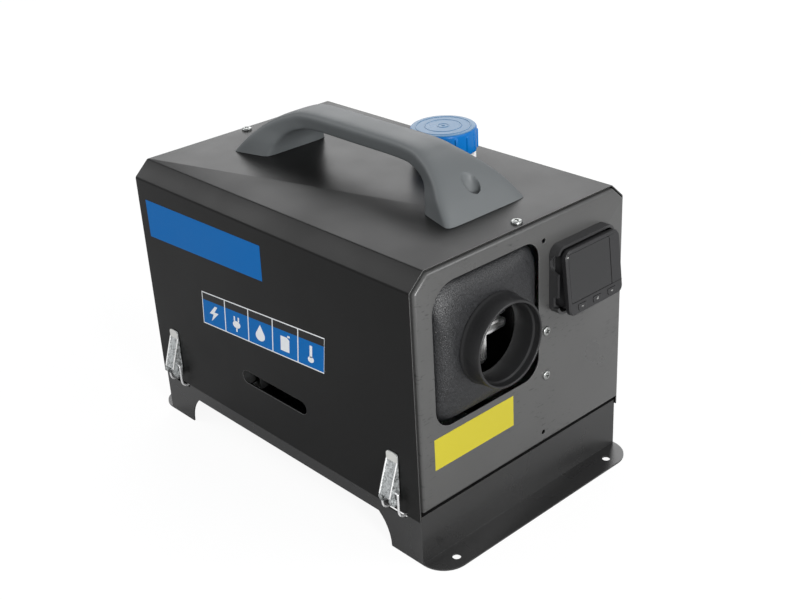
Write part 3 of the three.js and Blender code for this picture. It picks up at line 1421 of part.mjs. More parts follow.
const heater = new THREE.Group();
heater.name = 'diesel_air_heater';
heater.add(makeStand(), makeRubberStrip(-1), makeRubberStrip(1));
heater.add(makeFloor(), makeFrontPanel(), makeRearPanel(), makeCover(), makeHandle());
for (const side of [-1, 1]) {
  for (const end of [-1, 1]) heater.add(makeLatch(side, end));
}
heater.add(makeHeaterFrontCap(), makeOutletCollar(), makeHeaterCasing('upper'), makeHeaterCasing('lower'));
heater.add(makeHeaterIntakeCap(), makeHeatExchanger(), makeBurner(), piece('glow_plug', 'steel',
  glowPlugSolid(0)));
heater.add(makeBlowerHousing(), makeBlowerMotor(), makeRotorShaft(), makeCombustionImpeller(),
  makeHotAirWheel());
heater.add(makeControlBoard(), makeMountingGasket(), makeHeaterBracket());
heater.add(makePipe('exhaust_pipe', exhaustY, exhaustPortBottom - seat));
heater.add(makePipe('combustion_air_pipe', airPipeY, outletZ - blowerRadius - 4 - seat));
heater.add(makeFuelTank(), makeFuelPickup(), makeFillerCap(), makeCapSeal(), makeTankStrap());
heater.add(makeDosingPump(), makePumpClamp(), makeFuelFilter());
heater.add(makeTankHose(), makePumpHose());
heater.add(makePowerSupply(), makeMainsInlet(), makeSupplyGland(), makeIntakeGrille());
heater.add(makeControllerHolder(), makeController());

export default heater;
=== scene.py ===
"""A portable diesel air heater in a black sheet-steel case, latched down on its stand."""

import json
import math
import bmesh
import bpy
import numpy as np
from mathutils import Matrix, Vector

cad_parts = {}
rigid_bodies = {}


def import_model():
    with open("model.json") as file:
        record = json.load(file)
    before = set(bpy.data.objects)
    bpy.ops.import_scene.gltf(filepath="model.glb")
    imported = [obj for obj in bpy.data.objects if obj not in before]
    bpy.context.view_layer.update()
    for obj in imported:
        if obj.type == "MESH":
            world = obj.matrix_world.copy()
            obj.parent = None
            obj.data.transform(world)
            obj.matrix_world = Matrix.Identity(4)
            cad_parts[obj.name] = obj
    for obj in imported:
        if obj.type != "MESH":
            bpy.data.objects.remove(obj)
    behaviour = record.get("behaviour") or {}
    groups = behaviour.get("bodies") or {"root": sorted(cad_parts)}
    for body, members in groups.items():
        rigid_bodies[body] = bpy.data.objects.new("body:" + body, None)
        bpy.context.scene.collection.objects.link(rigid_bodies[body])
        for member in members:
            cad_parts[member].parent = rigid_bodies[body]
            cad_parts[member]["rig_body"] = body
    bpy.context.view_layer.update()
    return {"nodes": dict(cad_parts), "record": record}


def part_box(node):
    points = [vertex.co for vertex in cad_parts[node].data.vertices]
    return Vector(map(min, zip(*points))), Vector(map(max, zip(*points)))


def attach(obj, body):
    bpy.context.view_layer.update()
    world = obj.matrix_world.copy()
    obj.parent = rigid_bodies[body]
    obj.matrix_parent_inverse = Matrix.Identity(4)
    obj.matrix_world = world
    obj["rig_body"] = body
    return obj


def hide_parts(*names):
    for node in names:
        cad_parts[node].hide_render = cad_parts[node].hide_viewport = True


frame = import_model()

# Camera ---------------------------------------------------------------------------------------------
# A normal lens a metre and a quarter from the case, looking down over its front left corner. Its place and
# its axes were worked out from the case's straight edges.

camera = bpy.data.objects.new("camera", bpy.data.cameras.new("camera"))
bpy.context.scene.collection.objects.link(camera)
bpy.context.scene.camera = camera
camera.data.lens = 56.08
camera.data.sensor_width = 36
camera.data.clip_end = 50
right, up, forward = (0.7298, -0.6817, -0.0504), (0.3394, 0.2975, 0.8924), (0.5934, 0.6684, -0.4485)
camera_axes = Matrix([right, up, [-value for value in forward]]).transposed().to_4x4()
camera.matrix_world = Matrix.Translation((-0.7079, -0.8338, 0.6907)) @ camera_axes

# Studio ---------------------------------------------------------------------------------------------
# A pale seamless floor under a white surround. A large soft box stands at the front right, the rear one
# lies as a sheen along the top, the left one along the left shoulder, and a small one faces the outlet.

bpy.context.scene.view_settings.view_transform = "Standard"


def node(tree, kind, links=(), **settings):
    """A new node, with links from other nodes' sockets to its inputs. A setting is one of its properties, or
    else an input's default value, where _ stands for a space in the name and i7 is input 7."""
    made = tree.nodes.new(f"ShaderNode{kind}")
    for key, value in settings.items():
        if hasattr(made, key):
            setattr(made, key, value)
        elif key[0] == "i" and key[1:].isdigit():
            made.inputs[int(key[1:])].default_value = value
        else:
            made.inputs[key.replace("_", " ")].default_value = value
    for source, target in links:
        tree.links.new(source, made.inputs[target])
    return made


def seen_directly(tree):
    """A value that is 1 for what the camera sees, straight or through clear material, else 0."""
    path = node(tree, "LightPath").outputs
    either = node(tree, "Math", [(path["Is Camera Ray"], 0), (path["Is Transmission Ray"], 1)],
                  operation="MAXIMUM")
    return either.outputs[0]


world = bpy.data.worlds.new("surround")
bpy.context.scene.world = world
world.use_nodes = True
tree = world.node_tree
tree.nodes.clear()
shown = node(tree, "Background", Color=(1, 1, 1, 1))
fill = node(tree, "Background", Color=(0.97, 0.98, 1, 1), Strength=0.56)
either = node(tree, "MixShader", [(seen_directly(tree), 0), (fill.outputs[0], 1), (shown.outputs[0], 2)])
node(tree, "OutputWorld", [(either.outputs[0], "Surface")])

# The floor lies a hair below the stand. What is seen of it directly is mostly an even glow, so that it stays
# pale under a faint shadow. To every other ray it is matte paper.
floor_mesh = bpy.data.meshes.new("studio_floor")
floor_mesh.from_pydata([(-9, -9, 0), (9, -9, 0), (9, 9, 0), (-9, 9, 0)], [], [(0, 1, 2, 3)])
floor = bpy.data.objects.new("studio_floor", floor_mesh)
bpy.context.scene.collection.objects.link(floor)
floor.location.z = -0.0004
paper = bpy.data.materials.new("seamless_paper")
paper.use_nodes = True
tree = paper.node_tree
tree.nodes.clear()
matte = node(tree, "BsdfDiffuse", Color=(0.54, 0.54, 0.54, 1))
glow = node(tree, "Emission", Color=(1, 1, 1, 1), Strength=1.09)
share = node(tree, "Math", [(seen_directly(tree), 0)], operation="MULTIPLY", i1=0.84)
blended = node(tree, "MixShader", [(share.outputs[0], 0), (matte.outputs[0], 1), (glow.outputs[0], 2)])
node(tree, "OutputMaterial", [(blended.outputs[0], "Surface")])
floor_mesh.materials.append(paper)

for name, place, aim, size, watts in [
    ("key_box", (1.1, -2.2, 1.9), (0, 0, 0.15), 1.7, 36),
    ("rear_box", (1.6, 1.6, 1.5), (0, 0, 0.25), 1.9, 26),
    ("left_box", (-1.4, 2.0, 2.0), (0, 0, 0.2), 1.5, 25),
    ("outlet_box", (-0.5, -1.5, 0.5), (-0.048, -0.2, 0.195), 0.3, 19),
]:
    lamp = bpy.data.objects.new(name, bpy.data.lights.new(name, "AREA"))
    bpy.context.scene.collection.objects.link(lamp)
    lamp.data.size = size
    lamp.data.energy = watts
    lamp.location = place
    lamp.rotation_euler = (Vector(aim) - Vector(place)).to_track_quat("-Z", "Y").to_euler()

# Stand ----------------------------------------------------------------------------------------------
# A tray of 1.5 mm sheet steel, folded down on all four sides and out into a screw flange at each end,
# and powder coated black after folding.


def group(name, inputs, outputs):
    """A new shader node group with the named sockets, and its input and output nodes."""
    made = bpy.data.node_groups.new(name, "ShaderNodeTree")
    for socket, value in inputs:
        made.interface.new_socket(socket, in_out="INPUT", socket_type="NodeSocketFloat").default_value = value
    for socket, kind in outputs:
        made.interface.new_socket(socket, in_out="OUTPUT", socket_type=f"NodeSocket{kind}")
    return made, made.nodes.new("NodeGroupInput"), made.nodes.new("NodeGroupOutput")


# Surface grain: fine noise as a bump, and broad noise that the colour and the sheen drift with.
grain, grain_in, grain_out = group(
    "surface_grain", [("Scale", 900.0), ("Height", 0.00003)], [("Normal", "Vector"), ("Tone", "Float")])
place = node(grain, "TexCoord").outputs["Object"]
fine = node(grain, "TexNoise", [(place, "Vector"), (grain_in.outputs["Scale"], "Scale")], Detail=3.0)
broad = node(grain, "TexNoise", [(place, "Vector")], Scale=11.0, Detail=5.0)
bump = node(grain, "Bump", [(fine.outputs["Fac"], "Height"), (grain_in.outputs["Height"], "Distance")],
            Strength=1.0)
grain.links.new(bump.outputs["Normal"], grain_out.inputs["Normal"])
grain.links.new(broad.outputs["Fac"], grain_out.inputs["Tone"])

# Settled dust: a few of the cells of a Voronoi pattern carry a speck at their middle.
dust, dust_in, dust_out = group("settled_dust", [("Specks", 0.3)], [("Mask", "Float")])
place = node(dust, "TexCoord").outputs["Object"]
cells = node(dust, "TexVoronoi", [(place, "Vector")], Scale=75.0)
speck = node(dust, "MapRange", [(cells.outputs["Distance"], "Value")], From_Min=0.055, From_Max=0.03)
cell = node(dust, "SeparateColor", [(cells.outputs["Color"], "Color")])
chosen = node(dust, "Math", [(cell.outputs[0], 0)], operation="GREATER_THAN", i1=0.86)
on = node(dust, "Math", [(speck.outputs["Result"], 0), (chosen.outputs[0], 1)], operation="MULTIPLY")
mask = node(dust, "Math", [(on.outputs[0], 0), (dust_in.outputs["Specks"], 1)], operation="MULTIPLY")
dust.links.new(mask.outputs[0], dust_out.inputs["Mask"])
dust_grey = (0.3, 0.3, 0.29, 1)

# Handling marks: short level dashes where the coat was rubbed, from noise drawn out along the case.
marks, marks_in, marks_out = group("handling_marks", [("Amount", 0.5)], [("Mask", "Float")])
place = node(marks, "TexCoord").outputs["Object"]
drawn = node(marks, "Mapping", [(place, "Vector")], Scale=(130, 130, 620))
dashes = node(marks, "TexNoise", [(drawn.outputs[0], "Vector")], Scale=1.0, Detail=2.0)
cut = node(marks, "MapRange", [(dashes.outputs["Fac"], "Value")], From_Min=0.62, From_Max=0.68)
patches = node(marks, "TexNoise", [(place, "Vector")], Scale=17.0, Detail=2.0)
where = node(marks, "MapRange", [(patches.outputs["Fac"], "Value")], From_Min=0.45, From_Max=0.6)
both = node(marks, "Math", [(cut.outputs["Result"], 0), (where.outputs["Result"], 1)], operation="MULTIPLY")
amount = node(marks, "Math", [(both.outputs[0], 0), (marks_in.outputs["Amount"], 1)], operation="MULTIPLY")
marks.links.new(amount.outputs[0], marks_out.inputs["Mask"])

# Zinc spangle: flat crystals, each of its own tone, with a finer mottle over them.
spangle, spangle_in, spangle_out = group("zinc_spangle", [("Scale", 300.0)], [("Tone", "Float")])
place = node(spangle, "TexCoord").outputs["Object"]
crystal = node(spangle, "TexVoronoi", [(place, "Vector"), (spangle_in.outputs["Scale"], "Scale")])
face = node(spangle, "SeparateColor", [(crystal.outputs["Color"], "Color")])
mottle = node(spangle, "TexNoise", [(place, "Vector")], Scale=950.0, Detail=3.0)
mixed = node(spangle, "Mix", [(face.outputs[0], 2), (mottle.outputs["Fac"], 3)], i0=0.55)
spangle.links.new(mixed.outputs[0], spangle_out.inputs["Tone"])


def finish(name, color, roughness, scale, height, metallic=0.0, specular=0.5, tone=0.1, spread=0.06,
           specks=0.0, rubbed=0.0, crystals=0.0, **sockets):
    """A material whose colour varies by the share tone, and its roughness by spread, as the grain's tone
    drifts or from crystal to crystal. Rubbed marks darken the colour, and settled dust lies over them."""
    made = bpy.data.materials.new(name)
    made.use_nodes = True
    tree = made.node_tree
    shader = tree.nodes["Principled BSDF"]
    for socket, value in {"Metallic": metallic, "Specular IOR Level": specular, **sockets}.items():
        shader.inputs[socket.replace("_", " ")].default_value = value

    def tinted(share):
        """The colour multiplied by share, with its alpha."""
        return (*[min(1, value * share) for value in color], 1)

    skin = node(tree, "Group", node_tree=grain, Scale=scale, Height=height)
    drift = skin.outputs["Tone"]
    if crystals:
        drift = node(tree, "Group", node_tree=spangle, Scale=crystals).outputs["Tone"]
    shade = node(tree, "Mix", [(drift, 0)], data_type="RGBA", i6=tinted(1 - tone), i7=tinted(1 + tone))
    if rubbed:
        wear_and_highlight = node(tree, "Group", node_tree=marks, Amount=rubbed).outputs["Mask"]
        shade = node(tree, "Mix", [(wear_and_highlight, 0), (shade.outputs[2], 6)], data_type="RGBA", i7=tinted(0.3))
    settled = node(tree, "Group", node_tree=dust, Specks=specks).outputs["Mask"]
    dusty = node(tree, "Mix", [(settled, 0), (shade.outputs[2], 6)], data_type="RGBA", i7=dust_grey)
    gloss = node(tree, "MapRange", [(drift, "Value")], From_Min=0.3, From_Max=0.7,
                 To_Min=roughness - spread, To_Max=roughness + spread)
    tree.links.new(dusty.outputs[2], shader.inputs["Base Color"])
    tree.links.new(gloss.outputs["Result"], shader.inputs["Roughness"])
    tree.links.new(skin.outputs["Normal"], shader.inputs["Normal"])
    return made


def settle(piece, material, body, slot, *nodes):
    """Gives a piece its material and body, and lets it stand for the CAD nodes named. The slot is not used.
    """
    piece.data.materials.clear()
    piece.data.materials.append(material)
    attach(piece, body)
    if nodes:
        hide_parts(*nodes)
    return piece


slot_of = {part["node"]: part["material_slot"] for part in frame["record"]["subparts"]}


def dressed(name, material, edge=0.0, angle=32, segments=2, wear_and_highlight=None):
    """A merged copy of a CAD node, shaded smooth up to angle. Its sharper edges are rounded by edge, and take
    the material wear_and_highlight where one is given: a lighter colour, on the latch levers a painted
    highlight."""
    source = frame["nodes"][name]
    mesh = source.data.copy()
    mesh.name = f"{name}_dressed"
    work = bmesh.new()
    work.from_mesh(mesh)
    bmesh.ops.remove_doubles(work, verts=work.verts, dist=2e-6)
    bmesh.ops.dissolve_limit(work, angle_limit=math.radians(0.5), verts=work.verts, edges=work.edges)
    for facet in work.faces:
        facet.smooth = True
    work.to_mesh(mesh)
    work.free()
    mesh.set_sharp_from_angle(angle=math.radians(angle))
    piece = bpy.data.objects.new(f"{name}_dressed", mesh)
    bpy.context.scene.collection.objects.link(piece)
    if edge:
        rounding = piece.modifiers.new("rounded_edges", "BEVEL")
        rounding.width = edge
        rounding.segments = segments
        rounding.limit_method = "ANGLE"
        rounding.angle_limit = math.radians(angle)
        rounding.harden_normals = True
    settle(piece, material, source["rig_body"], slot_of[name], name)
    if wear_and_highlight:
        piece.data.materials.append(wear_and_highlight)
        rounding.material = 1
    return piece


coat_stand = finish("powder_coat_stand", (0.012, 0.012, 0.012), 0.27, 1500, 0.00002, specular=0.75, tone=0.4,
                    spread=0.1, specks=0.4, rubbed=0.6)
# A lighter grey laid on the rounded edges of the stand, the cover and the front panel.
coat_edge_grey = finish("powder_coat_edge_grey", (0.085, 0.085, 0.084), 0.42, 900, 0.00002, tone=0.5, specks=0.3)
dressed("stand", coat_stand, edge=0.0004, wear_and_highlight=coat_edge_grey)

# Rubber strips and floor ----------------------------------------------------------------------------
# The case's floor is a coated sheet with an opening for the pipes. Two strips of rubber are glued under it
# and carry the case on its stand.

strip_rubber = finish("strip_rubber", (0.02, 0.02, 0.02), 0.8, 600, 0.00004, tone=0.15)
for end in ("front", "rear"):
    dressed(f"rubber_strip_{end}", strip_rubber, edge=0.0008)
coat_black = finish("powder_coat_black", (0.0052, 0.0051, 0.0049), 0.34, 1500, 0.00003, specular=0.17,
                    specks=1.0)
dressed("chassis_floor", coat_black, edge=0.0002)

# Cover ----------------------------------------------------------------------------------------------
# One sheet bent over the case, with sloping shoulders and a slot in each side. The right one shows the
# fuel's level.

dressed("cover", coat_black, edge=0.00035, angle=25, wear_and_highlight=coat_edge_grey)

# End panels -----------------------------------------------------------------------------------------
# Flanged trays pressed from sheet steel, with rounded bends. Their satin powder coat shows short rubbed
# marks.

coat_panel = finish("powder_coat_panel", (0.056, 0.056, 0.055), 0.31, 1300, 0.000015, specular=0.6, tone=0.2,
                    specks=0.35, rubbed=0.8)
for end in ("front", "rear"):
    dressed(f"{end}_panel", coat_panel, edge=0.0003, angle=40, wear_and_highlight=coat_edge_grey if end == "front" else None)

# Screws ---------------------------------------------------------------------------------------------
# Zinc-plated pan-head screws with a cross recess hold the heater's plate, the cover, the intake grille
# and the supply inlet.


def surface(name, points, closed_u=False, closed_v=False, smooth=40):
    """A mesh over a grid of points [u, v]. Each face joins four neighbours, and in a closed direction the
    last row joins the first. Doubled points at poles are merged, and faces turned outwards."""
    count_u, count_v = points.shape[:2]
    index = np.arange(count_u * count_v).reshape(count_u, count_v)
    if closed_u:
        index = np.vstack([index, index[:1]])
    if closed_v:
        index = np.hstack([index, index[:, :1]])
    quads = np.stack([index[:-1, :-1], index[1:, :-1], index[1:, 1:], index[:-1, 1:]], axis=-1).reshape(-1, 4)
    mesh = bpy.data.meshes.new(name)
    mesh.from_pydata(points.reshape(-1, 3).tolist(), [], quads.tolist())
    work = bmesh.new()
    work.from_mesh(mesh)
    bmesh.ops.remove_doubles(work, verts=work.verts, dist=1e-6)
    bmesh.ops.dissolve_degenerate(work, edges=work.edges, dist=1e-7)
    bmesh.ops.recalc_face_normals(work, faces=work.faces)
    for facet in work.faces:
        facet.smooth = True
    work.to_mesh(mesh)
    work.free()
    mesh.set_sharp_from_angle(angle=math.radians(smooth))
    piece = bpy.data.objects.new(name, mesh)
    bpy.context.scene.collection.objects.link(piece)
    return piece


screw_zinc = finish("screw_zinc", (0.4, 0.41, 0.4), 0.32, 700, 0.000015, metallic=1.0, tone=0.12)


def pan_screw(name, centre, normal, radius, height, turn):
    """A domed disc pressed down inside a cross: the crown falls away towards the rim, and the height drops
    wherever a point lies near one of two crossed bars. Shares of the radius and height give the bars' half
    width, half length and depth."""
    bar_half, bar_reach, recess = 0.16, 0.58, 0.85
    angle = np.linspace(0, 2 * math.pi, 72, endpoint=False)[:, None]
    share = np.linspace(0, 1, 30)[None]
    across, over = share * np.cos(angle), share * np.sin(angle)
    crown = 0.5 * np.sqrt(np.clip(1 - share**2.4, 0, 1)) + 0.5
    bar_u = np.abs(across * math.cos(turn) + over * math.sin(turn))
    bar_v = np.abs(over * math.cos(turn) - across * math.sin(turn))
    pressed = np.clip((bar_half - np.minimum(bar_u, bar_v)) / 0.05, 0, 1)
    pressed = pressed * np.clip((bar_reach - np.maximum(bar_u, bar_v)) / 0.07, 0, 1)
    top = np.stack([across * radius, over * radius, height * (crown - recess * pressed)], axis=-1)
    skirt = top[:, -1:] * [1, 1, 0]
    underside = skirt * [0, 0, 0]
    out = np.array(normal, float)
    side = np.cross([0, 0, 1] if abs(out[2]) < 0.9 else [0, 1, 0], out)
    local = np.concatenate([top, skirt, underside], axis=1)
    placed = local @ np.array([side, np.cross(out, side), out]) + np.array(centre)
    return settle(surface(name, placed, closed_u=True, smooth=50), screw_zinc, "case", "zinc")


panel_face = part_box("front_panel")[0].y
for number, height in enumerate((0.170, 0.1255)):
    pan_screw(f"plate_screw_{number}", (0.0245, panel_face, height), (0, -1, 0), 0.0042, 0.0024, 0.3 + number)
cover_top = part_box("cover")[1].z
for end, sign in (("front", -1), ("rear", 1)):
    pan_screw(f"cover_screw_{end}", (0, sign * 0.187, cover_top), (0, 0, 1), 0.005, 0.0028, 0.7 + sign)

# The outlet and the grille behind it share one axis. It and the circle of the grille's screws are in
# millimetres.
outlet_x, outlet_z = -48, 195
screw_circle = 54.5
grille_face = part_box("intake_grille")[1].y
for number in range(4):
    angle = math.radians(45 + 90 * number)
    x, z = outlet_x + screw_circle * math.cos(angle), outlet_z + screw_circle * math.sin(angle)
    place = (x / 1000, grille_face, z / 1000)
    pan_screw(f"grille_screw_{number}", place, (0, 1, 0), 0.003, 0.0017, 0.5 * number)
inlet_low, inlet_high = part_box("mains_inlet")
inlet_middle = (inlet_low.z + inlet_high.z) / 2
screw_inset = 0.0038
for number, x in enumerate((inlet_low.x + screw_inset, inlet_high.x - screw_inset)):
    pan_screw(f"inlet_screw_{number}", (x, inlet_high.y, inlet_middle), (0, 1, 0), 0.0028, 0.0016, number)

# Labels ---------------------------------------------------------------------------------------------
# Printed vinyl, left without words: a plain blue label, a strip of five fields that each carry a simple
# sign under a dark band, and a plain yellow label on the front.


def plaque(name, outlines, corners, normal, height):
    """Flat prisms on a face: each outline in shares of a four-cornered area, whose corners run from the
    upper left clockwise, is laid into it bilinearly and reaches from just off the face to height above it."""
    just_off = 0.00001
    corners, normal = np.array(corners, float), np.array(normal, float)
    verts, faces = [], []
    for outline in outlines:
        u, v = np.array(outline, float).T[:, :, None]
        flat = (1 - u) * v * corners[0] + u * v * corners[1]
        flat = flat + u * (1 - v) * corners[2] + (1 - u) * (1 - v) * corners[3]
        count, start = len(flat), len(verts)
        verts += (flat + normal * just_off).tolist() + (flat + normal * height).tolist()
        faces += [list(range(start, start + count)), list(range(start + count, start + 2 * count))]
        faces += [[start + i, start + (i + 1) % count, start + count + (i + 1) % count, start + count + i]
                  for i in range(count)]
    mesh = bpy.data.meshes.new(name)
    mesh.from_pydata(verts, [], faces)
    work = bmesh.new()
    work.from_mesh(mesh)
    bmesh.ops.recalc_face_normals(work, faces=work.faces)
    work.to_mesh(mesh)
    work.free()
    piece = bpy.data.objects.new(name, mesh)
    bpy.context.scene.collection.objects.link(piece)
    return piece


def bar(left, low, right_edge, high):
    """The outline of an upright rectangle."""
    return [(left, low), (right_edge, low), (right_edge, high), (left, high)]


def disc(u, v, radius, tall, start=0.0, stop=360.0, count=22):
    """The outline of an ellipse, or of a sector of its rim, radius wide and tall high."""
    angle = np.radians(np.linspace(start, stop, count, endpoint=stop - start < 360))
    return [(u + radius * math.cos(a), v + tall * math.sin(a)) for a in angle]


cover_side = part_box("cover")[0].x
outwards = (-1, 0, 0)


def on_side(places):
    """Corners on the cover's left side, from places along it and heights in millimetres."""
    return [(cover_side, y / 1000, z / 1000) for y, z in places]


vinyl_blue = finish("vinyl_blue", (0.0005, 0.13, 0.42), 0.4, 500, 0.000004, specular=0.08, tone=0.03,
                    specks=0.1)
vinyl_white = finish("vinyl_white", (0.78, 0.8, 0.82), 0.4, 500, 0.000004, specular=0.15, tone=0.03)
vinyl_black = finish("vinyl_black", (0.006, 0.006, 0.007), 0.33, 500, 0.000004, specular=0.25, tone=0.05)
vinyl_yellow = finish("vinyl_yellow", (0.38, 0.33, 0.022), 0.36, 500, 0.000004, specular=0.25, tone=0.03,
                      specks=0.15)
whole = [bar(0, 0, 1, 1)]
side_label = on_side([(182.1, 243.2), (-2.3, 247.7), (-0.9, 212.4), (181.9, 204.2)])
strip = on_side([(102.1, 169.7), (-84.2, 184.9), (-79.4, 147.9), (105.5, 134.1)])

# The left and right edge of each of the five fields, in shares of the strip, with a white line between two.
cells = [(i / 5 + 0.006, (i + 1) / 5 - 0.002) for i in range(5)]
fields = [bar(left, 0.03, stop, 0.76) for left, stop in cells]
bands = [bar(left, 0.76, stop, 0.97) for left, stop in cells]

# Each sign's outlines, in shares of its own room in a field.
signs = {
    "bolt": [[(0.56, 0.95), (0.3, 0.46), (0.48, 0.46), (0.38, 0.04), (0.72, 0.6), (0.53, 0.6), (0.68, 0.95)]],
    "plug": [disc(0.5, 0.42, 0.17, 0.2), bar(0.38, 0.6, 0.44, 0.86), bar(0.56, 0.6, 0.62, 0.86),
             bar(0.47, 0.02, 0.53, 0.24)],
    "drop": [[(0.5, 0.95), *disc(0.5, 0.34, 0.2, 0.28, 25, -205)]],
    "can": [[(0.32, 0.06), (0.68, 0.06), (0.68, 0.72), (0.58, 0.84), (0.32, 0.84)],
            bar(0.6, 0.86, 0.7, 0.96)],
    "thermometer": [disc(0.5, 0.2, 0.12, 0.16), bar(0.45, 0.3, 0.55, 0.93)],
}
sign_wide, sign_low, sign_tall = 0.19, 0.14, 0.54
placed = [[(left + u * sign_wide, sign_low + v * sign_tall) for u, v in outline]
          for (left, stop), outlines in zip(cells, signs.values()) for outline in outlines]
for name, outlines, corners, height, vinyl, slot in [
    ("blue_label", whole, side_label, 0.0001, vinyl_blue, "cap_blue"),
    ("strip_backing", whole, strip, 0.0001, vinyl_white, "tank_white"),
    ("strip_fields", fields, strip, 0.00014, vinyl_blue, "cap_blue"),
    ("strip_bands", bands, strip, 0.00014, vinyl_black, "screen_black"),
    ("strip_signs", placed, strip, 0.00018, vinyl_white, "tank_white"),
]:
    settle(plaque(name, outlines, corners, outwards, height), vinyl, "case", slot)
front_places = [(-115, 122.9), (-18.5, 122.9), (-18.5, 92.6), (-115, 92.6)]
front_label = [(x / 1000, panel_face, z / 1000) for x, z in front_places]
settle(plaque("front_label", whole, front_label, (0, -1, 0), 0.0001), vinyl_yellow, "case", "cap_blue")

# Handle ---------------------------------------------------------------------------------------------
# A glass-filled nylon moulding with flared feet and a fine matte grain. A screw holds each foot from a
# round dimple in its top.

grip_nylon = finish("grip_nylon", (0.096, 0.104, 0.107), 0.48, 900, 0.00003, specular=0.42, tone=0.06,
                    specks=0.12)
grip_middle = (0, -4.5, 278.3)
screw_reach, dimple_radius, dimple_depth = 130, 8.2, 10


def catmull(points, sign, count):
    """Count even steps along a uniform Catmull-Rom curve through the points and their mirror images, whose
    first number is multiplied by sign. The curve's ends are doubled."""
    points = points + [(sign * u, v) for u, v in points[:-1][::-1]]
    points = np.array(points, float)
    spot = np.linspace(0, len(points) - 1, count)
    i = np.minimum(spot.astype(int), len(points) - 2)
    t = (spot - i)[:, None]
    here, after = points[i], points[i + 1]
    before = points[np.maximum(i - 1, 0)]
    beyond = points[np.minimum(i + 2, len(points) - 1)]
    leave, arrive = (after - before) / 2, (beyond - here) / 2
    cubic = 2 * here - 2 * after + leave + arrive
    return cubic * t**3 + (-3 * here + 3 * after - 2 * leave - arrive) * t**2 + leave * t + here


def handle_points(stations, sides):
    """Rings from the rear foot to the front one. A ring lies between a point of the inner edge and one of
    the outer edge, each with its own half width. Cosine and sine of the ring's angle are raised to a low
    power, which squares it, and its points are then spread evenly along it. Near each screw the height of
    the upper face is lowered inside a circle, most at its middle."""
    outer = catmull([(151, 0), (137, 15.8), (119, 30.8), (97, 41.7), (70, 47.9), (0, 48.6)], -1, stations)
    inner = catmull([(108, 0), (104, 11.2), (95, 21.5), (79, 28.7), (58, 31.2), (0, 31.2)], -1, stations)
    halves = catmull([(37, 49), (32, 43), (24, 33), (19, 24), (16.5, 20), (16, 19)], 1, stations)
    samples = 720
    angle = 2 * math.pi * (np.arange(samples) + 0.5) / samples
    rings = []
    for t, (top_y, top_z), (under_y, under_z), (half_under, half_top) in zip(
            np.linspace(0, 1, stations), outer, inner, halves):
        power = np.where(angle < math.pi, 0.22 + 0.42 * math.sin(math.pi * t), 0.2)
        rise = (1 + np.sign(np.sin(angle)) * np.abs(np.sin(angle)) ** power) / 2
        fall = 1 - rise
        x = np.sign(np.cos(angle)) * np.abs(np.cos(angle)) ** power * (half_under * fall + half_top * rise)
        ring = np.stack([x, under_y * fall + top_y * rise, under_z * fall + top_z * rise], axis=-1)
        loop = np.vstack([ring, ring[:1]])
        walked = np.concatenate([[0], np.cumsum(np.linalg.norm(np.diff(loop, axis=0), axis=1))])
        even = np.linspace(0, walked[-1], sides, endpoint=False)
        rings.append(np.stack([np.interp(even, walked, loop[:, k]) for k in range(3)], axis=-1))
    grid = np.array(rings)
    for screw_y in (-screw_reach, screw_reach):
        reach = np.hypot(grid[..., 0], grid[..., 1] - screw_y)
        upper_face = grid[..., 2] > 9  # millimetres above the feet's underside
        grid[..., 2] -= dimple_depth * np.clip(1 - (reach / dimple_radius) ** 2, 0, 1) ** 0.6 * upper_face
    return (grid + grip_middle) / 1000


def capped(rings):
    """The rings of a tube, closed by a ring at each end that is drawn in to the end's middle."""
    first, last = (rings[end].mean(axis=0)[None, None].repeat(rings.shape[1], axis=1) for end in (0, -1))
    return np.concatenate([first, rings, last])


handle = surface("handle_moulding", capped(handle_points(300, 300)), closed_v=True, smooth=60)
settle(handle, grip_nylon, "case", "handle_grey", "handle")

# Latches --------------------------------------------------------------------------------------------
# Pressed toggle latches: a plated base, a lever in spangled galvanised sheet with rolled edges and a tab, and
# a bail of bright wire that hooks through the stand's skirt. The lever's edges and rolls are painted near
# white and its tab light grey, as painted highlights.

base_zinc = finish("latch_base_zinc", (0.6, 0.61, 0.61), 0.32, 500, 0.00001, metallic=0.85, tone=0.15)
lever_zinc = finish("latch_lever_zinc", (0.5, 0.52, 0.52), 0.36, 350, 0.00003, metallic=0.7, tone=0.65,
                    spread=0.14, crystals=520)
# The lever's rounded edges and its rolls are painted near white: a painted highlight along the edges.
lever_edge_highlight = finish("latch_lever_edge_highlight", (0.95, 0.95, 0.93), 0.3, 350, 0.00001, metallic=0.5, tone=0.08)
# The tab is painted lighter than the lever, a painted highlight where it faces the light.
tab_painted_light = finish("latch_tab_painted_light", (0.72, 0.72, 0.69), 0.35, 350, 0.00001, metallic=0.4, tone=0.1,
                  spread=0.05)
bail_zinc = finish("bail_wire_zinc", (0.9, 0.9, 0.9), 0.24, 500, 0.000008, metallic=0.75, tone=0.06)


